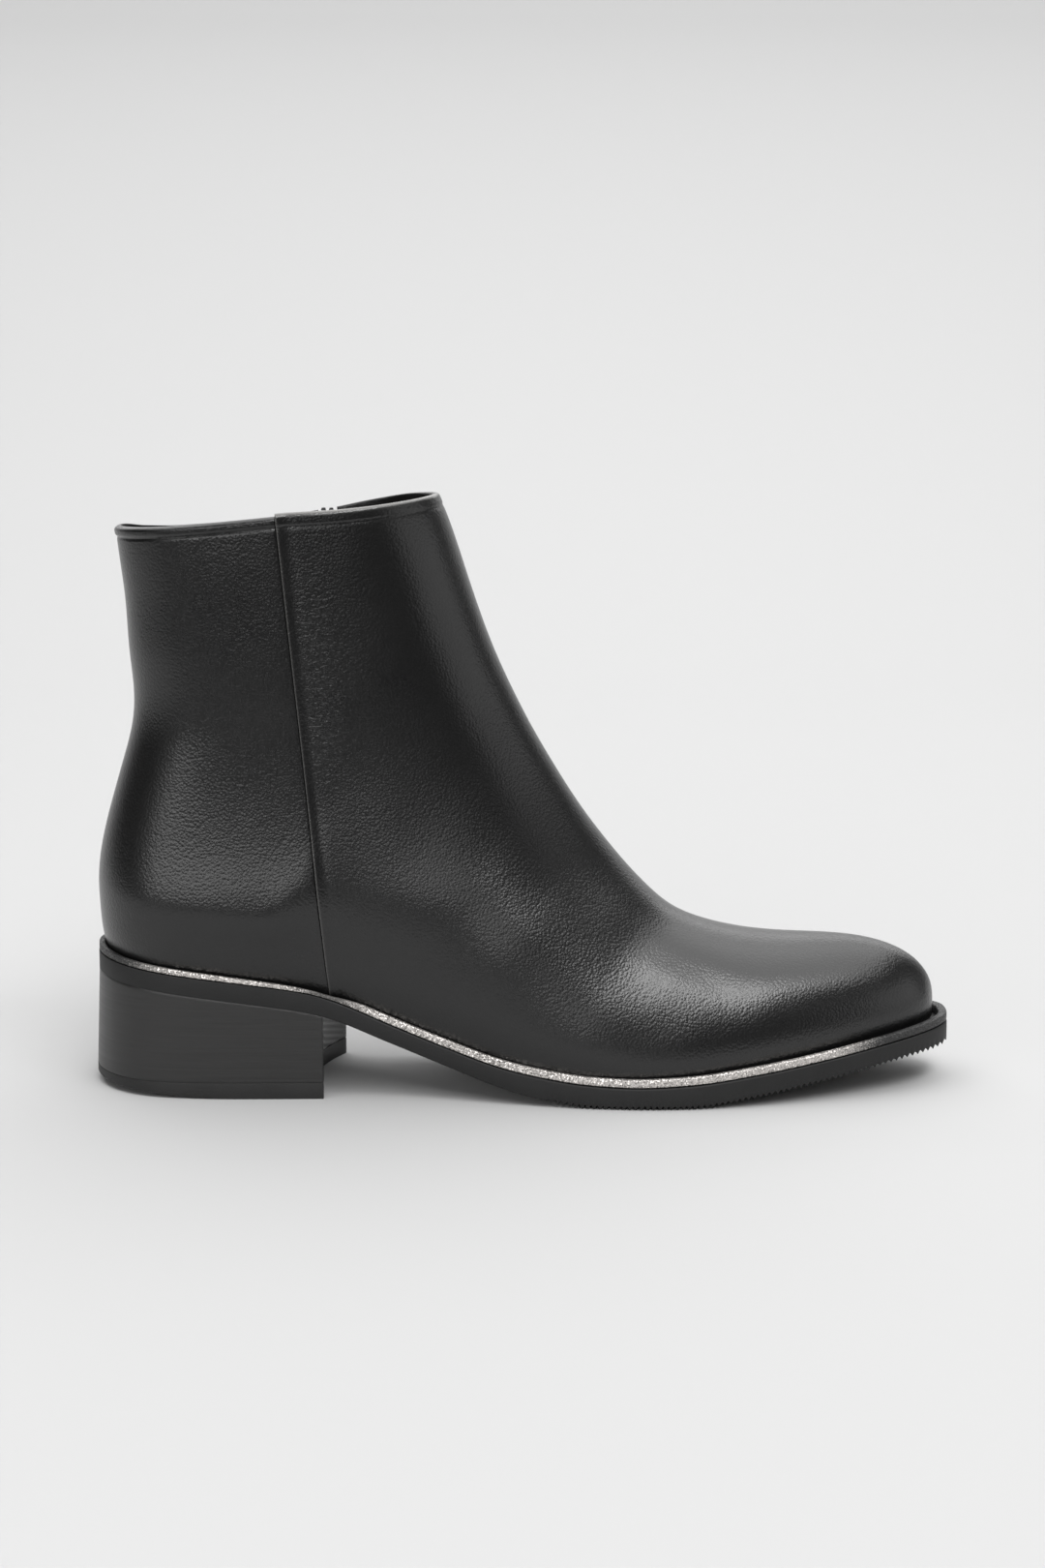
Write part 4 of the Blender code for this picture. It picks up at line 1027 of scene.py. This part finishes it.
def pull_outline():
    """Tab hanging from the pin: straight neck, wider blade and a half-round end."""
    blade_z = np.linspace(-PULL_TOP, -PULL_LONG + PULL_HALF, PULL_ROWS)
    widened = smooth_step((-blade_z - PULL_NECK_LONG) / PULL_NECK_FADE)
    blade = PULL_NECK_HALF + (PULL_HALF - PULL_NECK_HALF) * widened
    turn = np.linspace(0, math.pi, PULL_END_POINTS)[1:-1]
    end_x = PULL_HALF * np.cos(turn)
    end_z = -PULL_LONG + PULL_HALF - PULL_HALF * np.sin(turn)
    x = np.concatenate([-blade, -end_x, blade[::-1]])
    z = np.concatenate([blade_z, end_z, blade_z[::-1]])
    return np.stack([x, z], -1)


def lug_outline():
    """Outward half-round lug over the pin, in the outward and up directions."""
    turn = np.linspace(0, math.pi, LUG_POINTS)
    root, round_middle = SLIDER_THICK - CAST_EDGE, SLIDER_THICK + LUG_OUT - LUG_HALF_TALL
    out = np.concatenate([[root], round_middle + LUG_HALF_TALL * np.sin(turn), [root]])
    up = np.concatenate([[LUG_HALF_TALL], LUG_HALF_TALL * np.cos(turn), [-LUG_HALF_TALL]])
    return np.stack([out, up], -1)[::-1]


def turned(along, radius, turn):
    """Grid of points round the X axis, from places along it, radii and angles."""
    grid = np.stack(np.broadcast_arrays(along, radius * np.cos(turn), radius * np.sin(turn)), -1)
    return grid.reshape(-1, 3), grid_quads(*grid.shape[:2], wrap=True)


def pull_eye():
    """Ring round the X axis with a squared section between two radii."""
    section = np.linspace(0, 2 * math.pi, EYE_POINTS, endpoint=False)
    along = EYE_WIDE / 2 * squared_up(np.cos(section), EYE_POWER)[None, :]
    middle, half = (EYE_INNER + EYE_OUTER) / 2, (EYE_OUTER - EYE_INNER) / 2
    radius = middle + half * squared_up(np.sin(section), EYE_POWER)[None, :]
    return turned(along, radius, np.linspace(0, 2 * math.pi, EYE_AROUND + 1)[:, None])


def pin_rod(half):
    """Rod along X with rounded ends: radius as a function of the place along it."""
    along = np.array([-half, -half, -half + PIN_END, half - PIN_END, half, half])[:, None]
    radius = PIN_RADIUS * np.array([0.0, PIN_TIP, 1.0, 1.0, PIN_TIP, 0.0])[:, None]
    return turned(along, radius, np.linspace(0, 2 * math.pi, PIN_AROUND, endpoint=False)[None, :])


def gunmetal_finish():
    """Polished dark metal with fine brush marks in its roughness and bump."""
    metal = {"Base Color": GUNMETAL, "Metallic": 1.0}
    material, tree, shader, place = patterned_material("gunmetal", metal)
    marks = noise(tree, stretched(tree, place, BRUSH_STRETCH), BRUSH_SCALE)
    raise_surface(tree, shader, marks, *BRUSH_BUMP)
    tree.links.new(between(tree, marks, *METAL_ROUGHNESS), shader.inputs["Roughness"])
    return material


gunmetal = gunmetal_finish()
slider_rise = np.array([zip_span - SLIDER_BELOW_COLLAR])
slider_axes = zip_axes(slider_rise - RISE_STEP)[0]
slider_seat = on_zip(slider_rise, 0.0, -SLIDER_SEAT)[0]


def placed(mesh, order, move=(0.0, 0.0, 0.0)):
    """Turns a mesh from its own directions (numbers of across, outwards, up) to its place on the zip."""
    points, faces = mesh
    ordered = np.zeros_like(points)
    ordered[:, order] = points
    return slider_seat + (ordered + np.array(move)) @ slider_axes, faces


lug_x = EYE_WIDE / 2 + GAP
pin_out = SLIDER_THICK + PIN_OUT
slider_parts = [placed(plate(slider_outline(), SLIDER_THICK, CAST_EDGE), [0, 2, 1])]
for lug_start in (-lug_x - LUG_THICK, lug_x):
    slider_parts.append(placed(plate(lug_outline(), LUG_THICK, LUG_EDGE), [1, 2, 0], (lug_start, 0, 0)))
slider_parts.append(placed(pin_rod(lug_x + LUG_THICK / 2), [0, 1, 2], (0, pin_out, 0)))
add_piece("slider_casting", *joined(*slider_parts), gunmetal, "boot", "zip_metal", ["zip_slider"])

pull_blade = plate(pull_outline(), PULL_THICK, PULL_EDGE, PULL_DISH)
pull_parts = [
    placed(pull_blade, [0, 2, 1], (0, pin_out - PULL_THICK / 2, 0)),
    placed(pull_eye(), [0, 1, 2], (0, pin_out, 0)),
]
add_piece("pull_tab", *joined(*pull_parts), gunmetal, "pull", "zip_metal", ["zip_pull"])


# Zip stitching
# A row of black waxed thread on each side of the slot, sewn through leather, tape and lining, so that each
# stitch lies half sunk in the leather.

STITCH_FROM_EDGE, STITCH_PITCH, STITCH_TOP, STITCH_FOOT = 2.2, 3.0, 5.0, 8.0
STITCH_HALVES, STITCH_POWER = (0.28, 0.24, 1.2), 0.8
THREAD_BLACK, THREAD_ROUGHNESS = (0.014, 0.014, 0.015, 1), 0.55
TWIST_SCALE, TWIST_BUMP = 400.0, (0.5, 0.0001)


def zip_stitches():
    """Small rounded blocks at an even pitch beside both edges, half sunk in the leather."""
    rise = np.arange(ZIP_RISE - STITCH_FOOT, zip_span - STITCH_TOP, STITCH_PITCH)
    rows = []
    for side in (-1.0, 1.0):
        aside = side * (slot_half(rise) + STITCH_FROM_EDGE)
        wave = hand_waves(*np.moveaxis(on_zip(rise, aside, 0.0), -1, 0))
        rows.append(blobs(on_zip(rise, aside, -wave), zip_axes(rise), STITCH_HALVES, STITCH_POWER))
    return joined(*rows)


def waxed_thread():
    """Black thread with a twist: slanted waves in the bump."""
    thread = {"Base Color": THREAD_BLACK, "Roughness": THREAD_ROUGHNESS}
    material, tree, shader, place = patterned_material("waxed_thread", thread)
    twist = add_node(tree, "TexWave", {"Vector": place, "Scale": TWIST_SCALE}, bands_direction="DIAGONAL")
    raise_surface(tree, shader, twist.outputs["Fac"], *TWIST_BUMP)
    return material


add_piece("zip_stitches", *zip_stitches(), waxed_thread(), "boot", "upper_leather", ["upper"])


# Insole sock
# Charcoal sock sheet glued on a board and laid on the outsole inside the upper. Its edge is softly rounded
# and stands a little clear of the lining.

INSOLE_GAP, INSOLE_THICK, SOCK_EDGE = 0.6, 2.0, 0.7
SOCK_STATIONS, SOCK_STRIPS, SOCK_STEPS = 120, 10, 5


def sock():
    """Rings from the lower to the upper face, inset along a quarter circle at the upper edge."""
    loop = grown_loop(feather_loop(even_stations(SOCK_STATIONS)), -WALL - INSOLE_GAP)
    turn = np.linspace(0, math.pi / 2, SOCK_STEPS)
    insets = np.concatenate([[0.0], SOCK_EDGE * (1 - np.cos(turn)), [2 * SOCK_EDGE]])
    heights = np.concatenate([[0.0], INSOLE_THICK - SOCK_EDGE + SOCK_EDGE * np.sin(turn), [INSOLE_THICK]])
    rings = []
    for inset, height in zip(insets, heights):
        plan = grown_loop(loop, -inset)
        rings.append(np.column_stack([plan, sole_top(plan[:, 0]) + GAP + height]))
    low_cap = strip_cap(rings[0], SOCK_STRIPS, lambda x: sole_top(x) + GAP)
    high_cap = strip_cap(rings[-1], SOCK_STRIPS, lambda x: sole_top(x) + GAP + INSOLE_THICK)
    return ring_solid(np.stack(rings), low_cap, high_cap)


add_piece("sock_sheet", *sock(), charcoal_lining, "boot", "insole_lining", ["insole"])


# Welt bead
# Piping of silver metallised film with a fine glitter, cemented in the joint of upper and sole all the way
# round. It is thinner over the heel and the waist, and towards toe and heel it is painted dark, as shade.

BEAD_FROM_EDGE, BEAD_POWER = 0.1, 0.38
BEAD_STATIONS, BEAD_STEPS = 360, 25
BEAD = table(
    "x height width",
    (-134.0, 2.9, 2.0), (-118.0, 1.9, 1.7), (-75.0, 1.4, 1.5), (-60.0, 1.0, 1.3), (-46.0, 2.4, 1.9),
    (0.0, 2.5, 1.9), (100.0, 2.5, 2.4), (134.0, 2.7, 2.8),
)
# The dark colour is painted shade where the film fades round toe and heel.
BEAD_SILVER, BEAD_SHADE, BEAD_PAINTED_DARK = (0.86, 0.82, 0.79, 1), (0.40, 0.38, 0.36, 1), (0.02, 0.02, 0.02, 1)
GLITTER_SCALE, GLITTER_TILT, GLITTER_ROUGHNESS = 3000.0, 1.1, 0.45
RAGGED = 0.008                           # raggedness of the film's ends, in metres
TOE_PAINTED_SHADE, HEEL_PAINTED_SHADE = (0.098, 0.112), (-0.116, -0.105)   # painted shade: the film fades to a dark, non-metal colour here, in metres
DARK_PATCH_X, DARK_PATCH_HALF, DARK_PATCH_FILM = -0.056, (0.004, 0.013), 0.15      # darker and less metallic above the breast


def welt_bead():
    """Squared round section carried round the edge of the sole."""
    loop = feather_loop(even_stations(BEAD_STATIONS))
    height = steady_curve(BEAD["x"], BEAD["height"], loop[:, 0])
    width = steady_curve(BEAD["x"], BEAD["width"], loop[:, 0])
    out = np.maximum(edge_overhang(loop[:, 0]) - BEAD_FROM_EDGE - width / 2, GAP + width / 2)
    rings = []
    for angle in np.linspace(0, 2 * math.pi, BEAD_STEPS):
        plan = grown_loop(loop, out + width / 2 * squared_up(np.cos(angle), BEAD_POWER))
        up = squared_up(np.sin(angle), BEAD_POWER)
        rings.append(np.column_stack([plan, sole_top(plan[:, 0]) + GAP + height / 2 * (1 + up)]))
    grid = np.stack(rings)
    return grid.reshape(-1, 3), grid_quads(*grid.shape[:2], wrap=True)


def faded(tree, value, ends):
    """One below the first end, zero past the second."""
    sockets = {"Value": value, "From Min": ends[0], "From Max": ends[1], "To Min": 1.0, "To Max": 0.0}
    return add_node(tree, "MapRange", sockets).outputs["Result"]


def glitter_film():
    """Metal flakes: each cell has its own tilt and shade; round toe and heel the film fades to a dark
    non-metal colour as painted shade, and above the breast to a darker, less metallic patch.
    """
    material, tree, shader, place = patterned_material("glitter_film", {"Roughness": GLITTER_ROUGHNESS})
    flakes = add_node(tree, "TexVoronoi", {"Vector": place, "Scale": GLITTER_SCALE}).outputs["Color"]
    centred = add_node(tree, "VectorMath", {0: flakes, 1: (0.5, 0.5, 0.5)}, operation="SUBTRACT").outputs[0]
    tilted = shifted(tree, add_node(tree, "NewGeometry").outputs["Normal"], centred, GLITTER_TILT)
    unit = add_node(tree, "VectorMath", {0: tilted}, operation="NORMALIZE").outputs[0]
    tree.links.new(unit, shader.inputs["Normal"])
    parts = add_node(tree, "SeparateColor", {"Color": flakes})
    silver = mix_colour(tree, parts.outputs["Red"], BEAD_SHADE, BEAD_SILVER)
    ragged = calculate(tree, "MULTIPLY", parts.outputs["Green"], RAGGED)
    along = calculate(tree, "ADD", add_node(tree, "SeparateXYZ", {"Vector": place}).outputs["X"], ragged)
    # Painted shade: towards toe and heel the film gives way to a dark, non-metal colour.
    heel_side = calculate(tree, "SUBTRACT", 1.0, faded(tree, along, HEEL_PAINTED_SHADE))
    from_dark_patch = calculate(tree, "ABSOLUTE", calculate(tree, "SUBTRACT", along, DARK_PATCH_X), 0.0)
    kept = between(tree, faded(tree, from_dark_patch, DARK_PATCH_HALF), 1.0, DARK_PATCH_FILM)
    ends = calculate(tree, "MULTIPLY", faded(tree, along, TOE_PAINTED_SHADE), heel_side)
    film = calculate(tree, "MULTIPLY", ends, kept)
    tree.links.new(film, shader.inputs["Metallic"])
    tree.links.new(mix_colour(tree, film, BEAD_PAINTED_DARK, silver), shader.inputs["Base Color"])
    return material


add_piece("glitter_bead", *welt_bead(), glitter_film(), "boot", "bead_metallic", ["welt_bead"])


# Outsole
# One layer of matt black rubber from toe to heel seat, with rounded edges and fine ribs moulded across the
# forefoot, which show as a sawtooth along its lower edge.

RIB_START_X, RIB_PITCH, RIB_HIGH, RIB_FADE = 4.0, 1.8, 1.3, 8.0
RIB_STATIONS, TIP_START_X = 4, 114.0     # points on each rib, and where the stations close up to the toe
SOLE_EDGE, SEAT_EDGE = 0.5, 0.15         # rounding of the lower edge in front of the heel, and over it
SEAT_END_X, SEAT_FADE = -64.0, 8.0
REAR_STATIONS, TIP_STATIONS, SOLE_STRIPS = 90, 110, 14
RUBBER_DARK, RUBBER_LIGHT = (0.011, 0.011, 0.0112, 1), (0.019, 0.0189, 0.0188, 1)
RUBBER_SPECULAR, SOLE_ROUGHNESS = 0.3, 0.55
RUBBER_SCALE, RUBBER_DETAIL, RUBBER_BUMP = 2600.0, 3.0, (0.35, 0.00012)
SCUFF_SCALE, SCUFF_DETAIL, SCUFF_SMOOTHER, SCUFF_ROUGHER = 90.0, 4.0, 0.08, 0.1


def sole_bottom(x):
    """Height of the outsole's lower face along the boot, without its ribs."""
    return steady_curve(SOLE["x"], SOLE["bottom"], np.asarray(x, float))


def rib_cut(x):
    """Height of the grooves between ribs: a triangle wave along X that grows in behind the ball."""
    wave = 1 - np.abs(2 * ((x / RIB_PITCH) % 1) - 1)
    return RIB_HIGH * wave * smooth_step((x - RIB_START_X) / RIB_FADE)


def sole_stations():
    """Places along X: coarse under heel and waist, several on each rib, and closing up towards the toe."""
    turn = np.linspace(0, math.pi / 2, REAR_STATIONS, endpoint=False)
    rear = FOOT_X + (RIB_START_X - FOOT_X) * (1 - np.cos(turn))
    ribs = np.arange(RIB_START_X, TIP_START_X, RIB_PITCH / RIB_STATIONS)
    tip = TIP_X - (TIP_X - TIP_START_X) * (1 - np.linspace(0, 1, TIP_STATIONS)) ** 2
    return np.concatenate([rear, ribs, tip])


def outsole():
    """Rings from the tread over a rounded lower edge up the side to the top, from the sole's plan."""
    loop = outsole_loop(sole_stations())
    edge = SEAT_EDGE + (SOLE_EDGE - SEAT_EDGE) * smooth_step((loop[:, 0] - SEAT_END_X) / SEAT_FADE)
    rings = []
    for inset, lift, share in side_steps(2.0, [(0.0, 0.0, 0.5)]):
        plan = grown_loop(loop, -inset * edge)
        x = plan[:, 0]
        low, high = sole_bottom(x) + rib_cut(x), sole_top(x)
        rings.append(np.column_stack([plan, low + (high - low) * share + lift * edge]))
    low_cap = strip_cap(rings[0], SOLE_STRIPS, lambda x: sole_bottom(x) + rib_cut(x))
    return ring_solid(np.stack(rings), low_cap, strip_cap(rings[-1], SOLE_STRIPS, sole_top))


def black_rubber(name, roughness, dark, light):
    """Matt rubber: fine noise in the bump, a slow scuffed variation in colour and roughness."""
    material, tree, shader, place = patterned_material(name, {"Specular IOR Level": RUBBER_SPECULAR})
    raise_surface(tree, shader, noise(tree, place, RUBBER_SCALE, RUBBER_DETAIL), *RUBBER_BUMP)
    slow = noise(tree, place, SCUFF_SCALE, SCUFF_DETAIL)
    scuffed = between(tree, slow, roughness - SCUFF_SMOOTHER, roughness + SCUFF_ROUGHER)
    tree.links.new(scuffed, shader.inputs["Roughness"])
    tree.links.new(mix_colour(tree, slow, dark, light), shader.inputs["Base Color"])
    return material


sole_rubber = black_rubber("sole_rubber", SOLE_ROUGHNESS, RUBBER_DARK, RUBBER_LIGHT)
add_piece("ribbed_sole", *outsole(), sole_rubber, "boot", "outsole_rubber", ["outsole"])


# Heel block
# Stacked layers glued, trimmed and painted black, with a hollow, rasped breast. The joints between layers
# show as faint lines.

BREAST_OUTER_X, BREAST_INNER_X, BREAST_SAG = -60.3, -56.7, 6.5
HEEL_FLARE, FLARE_X, FLARE_LENGTH = 1.2, -100.0, 34.0
LIFT_THICK = 5.0
JOINT = 0.06                             # cemented joints of sole, heel and lift
BREAST_POWER = 4                         # how late along the heel the hollow of the breast begins
HEEL_STATIONS = 400
HEEL_POINTS, BREAST_POINTS = 150, 41     # along each side, and along the breast between the sides
HEEL_ROWS, HEEL_EDGE = 64, 0.15
LAYER_PITCH, LAYER_GROOVE, LAYER_HALF = 3.1, 0.04, 0.22
SCORE_PITCH, SCORE_DEPTH, SCORE_SLANT = 2.0, 0.3, 0.25   # rasp marks in the breast
STACK_DARK, STACK_LIGHT = (0.011, 0.0108, 0.0106, 1), (0.021, 0.0206, 0.0202, 1)
STACK_COAT, STACK_COAT_ROUGHNESS, STACK_ROUGHNESS = 0.06, 0.35, (0.32, 0.48)
STREAK_SCALE, STREAK_DETAIL, STREAK_STRETCH = 1500.0, 3.0, (0.03, 0.03, 1.0)
STREAK_BUMP = (0.3, 0.00015)


def evenly(points, count):
    """The same line with evenly spaced points."""
    run = np.concatenate([[0], np.cumsum(np.linalg.norm(np.diff(points, axis=0), axis=1))])
    at = np.linspace(0, run[-1], count)
    return np.stack([np.interp(at, run, points[:, k]) for k in (0, 1)], -1)


def heel_loop(flare):
    """Plan of the heel: outer side from back to breast, the hollow breast, and inner side to the back."""
    edge = outsole_loop(even_stations(HEEL_STATIONS))
    edge = grown_loop(edge, flare * smooth_step((FLARE_X - edge[:, 0]) / FLARE_LENGTH))
    sides = []
    for side, corner_x in zip(half_pairs(edge), (BREAST_OUTER_X, BREAST_INNER_X)):
        corner = [corner_x, np.interp(corner_x, side[:, 0], side[:, 1])]
        sides.append(evenly(np.vstack([side[side[:, 0] < corner_x], corner]), HEEL_POINTS))
    share = np.linspace(0, 1, BREAST_POINTS + 2)[1:-1, None]
    breast = sides[0][-1] * (1 - share) + sides[1][-1] * share
    breast[:, 0] -= BREAST_SAG * (1 - (2 * share[:, 0] - 1) ** 2)
    loop = np.concatenate([sides[0], breast, sides[1][:0:-1]])
    return (np.roll(loop, 1, 0) + loop + np.roll(loop, -1, 0)) / 3


def heel_cap(ring, height):
    """Grid that fills a ring of the heel: rows across it that bend into the hollow of the breast."""
    breast = ring[HEEL_POINTS - 1:HEEL_POINTS + BREAST_POINTS + 1]
    outer, inner = ring[:HEEL_POINTS, None], np.roll(ring, -1, 0)[:-HEEL_POINTS - 1:-1, None]
    share = np.linspace(0, 1, BREAST_POINTS + 2)[None, :, None]
    sag = breast - (breast[0] * (1 - share) + breast[-1] * share)
    bent = (np.linspace(0, 1, HEEL_POINTS) ** BREAST_POWER)[:, None, None]
    cap = outer * (1 - share) + inner * share + sag * bent
    cap[1:-1, 1:-1, 2] = height(cap[1:-1, 1:-1, 0])
    return cap


def layer_lines(z):
    """Depth of the faint joints between layers."""
    beside = ((z / LAYER_PITCH + 0.5) % 1 - 0.5) * LAYER_PITCH
    return LAYER_GROOVE * np.exp(-((beside / LAYER_HALF) ** 2))


def breast_scores(y, z):
    """Depth of the slanted rasp marks: a sine wave up the breast, and nothing on the sides."""
    on_breast = np.zeros(len(z))
    on_breast[HEEL_POINTS:HEEL_POINTS + BREAST_POINTS] = SCORE_DEPTH / 2
    return on_breast * (1 + np.sin(2 * math.pi * (z + SCORE_SLANT * y) / SCORE_PITCH))


def heel_block():
    """Rings from the lift's plan to the heel seat's, with rounded edges, layer lines and rasp marks."""
    low_loop, high_loop = heel_loop(HEEL_FLARE), heel_loop(0.0)
    low = np.full(len(low_loop), LIFT_THICK + JOINT)
    high = sole_bottom(high_loop[:, 0]) - JOINT
    rings = []
    for share in np.linspace(0, 1, HEEL_ROWS):
        plan = low_loop * (1 - share) + high_loop * share
        z = low + (high - low) * share
        to_edge = np.minimum(z - low, high - z)
        inset = round_over(to_edge, HEEL_EDGE) + layer_lines(z) + breast_scores(plan[:, 1], z)
        rings.append(np.column_stack([grown_loop(plan, -inset), z]))
    low_cap = heel_cap(rings[0], lambda x: np.full_like(x, LIFT_THICK + JOINT))
    return ring_solid(np.stack(rings), low_cap, heel_cap(rings[-1], lambda x: sole_bottom(x) - JOINT))


def painted_stack():
    """Painted stack: fine level streaks in bump, colour and roughness."""
    paint = {"Coat Weight": STACK_COAT, "Coat Roughness": STACK_COAT_ROUGHNESS}
    material, tree, shader, place = patterned_material("painted_stack", paint)
    streaks = noise(tree, stretched(tree, place, STREAK_STRETCH), STREAK_SCALE, STREAK_DETAIL)
    raise_surface(tree, shader, streaks, *STREAK_BUMP)
    tree.links.new(between(tree, streaks, *STACK_ROUGHNESS), shader.inputs["Roughness"])
    tree.links.new(mix_colour(tree, streaks, STACK_DARK, STACK_LIGHT), shader.inputs["Base Color"])
    return material


add_piece("stacked_heel", *heel_block(), painted_stack(), "boot", "heel_stack", ["heel_block"])


# Top lift
# Black rubber wear layer, cemented under the heel and trimmed flush with it. It is level in front and
# bevelled up at the back.

LIFT_BEVEL_X, LIFT_BEVEL_RISE, LIFT_BEVEL_POWER = -88.0, 2.6, 1.2
LIFT_EDGE, LIFT_ROUGHNESS = 0.15, 0.5
LIFT_DARK, LIFT_LIGHT = (0.016, 0.0159, 0.0158, 1), (0.026, 0.0258, 0.0256, 1)


def lift_bottom(x):
    """Level up to the bevel, then rising to the back."""
    behind = np.maximum((LIFT_BEVEL_X - x) / (LIFT_BEVEL_X - FOOT_X + EDGE_HEEL + HEEL_FLARE), 0)
    return LIFT_BEVEL_RISE * behind**LIFT_BEVEL_POWER


def top_lift():
    """Rings from the worn face over rounded edges to the upper face."""
    loop = heel_loop(HEEL_FLARE)
    rings = []
    for inset, lift, share in side_steps(3.0):
        plan = grown_loop(loop, -inset * LIFT_EDGE)
        low = lift_bottom(plan[:, 0])
        rings.append(np.column_stack([plan, low + (LIFT_THICK - low) * share + lift * LIFT_EDGE]))
    high_cap = heel_cap(rings[-1], lambda x: np.full_like(x, LIFT_THICK))
    return ring_solid(np.stack(rings), heel_cap(rings[0], lift_bottom), high_cap)


lift_rubber = black_rubber("lift_rubber", LIFT_ROUGHNESS, LIFT_DARK, LIFT_LIGHT)
add_piece("wear_lift", *top_lift(), lift_rubber, "boot", "top_lift_rubber", ["top_lift"])
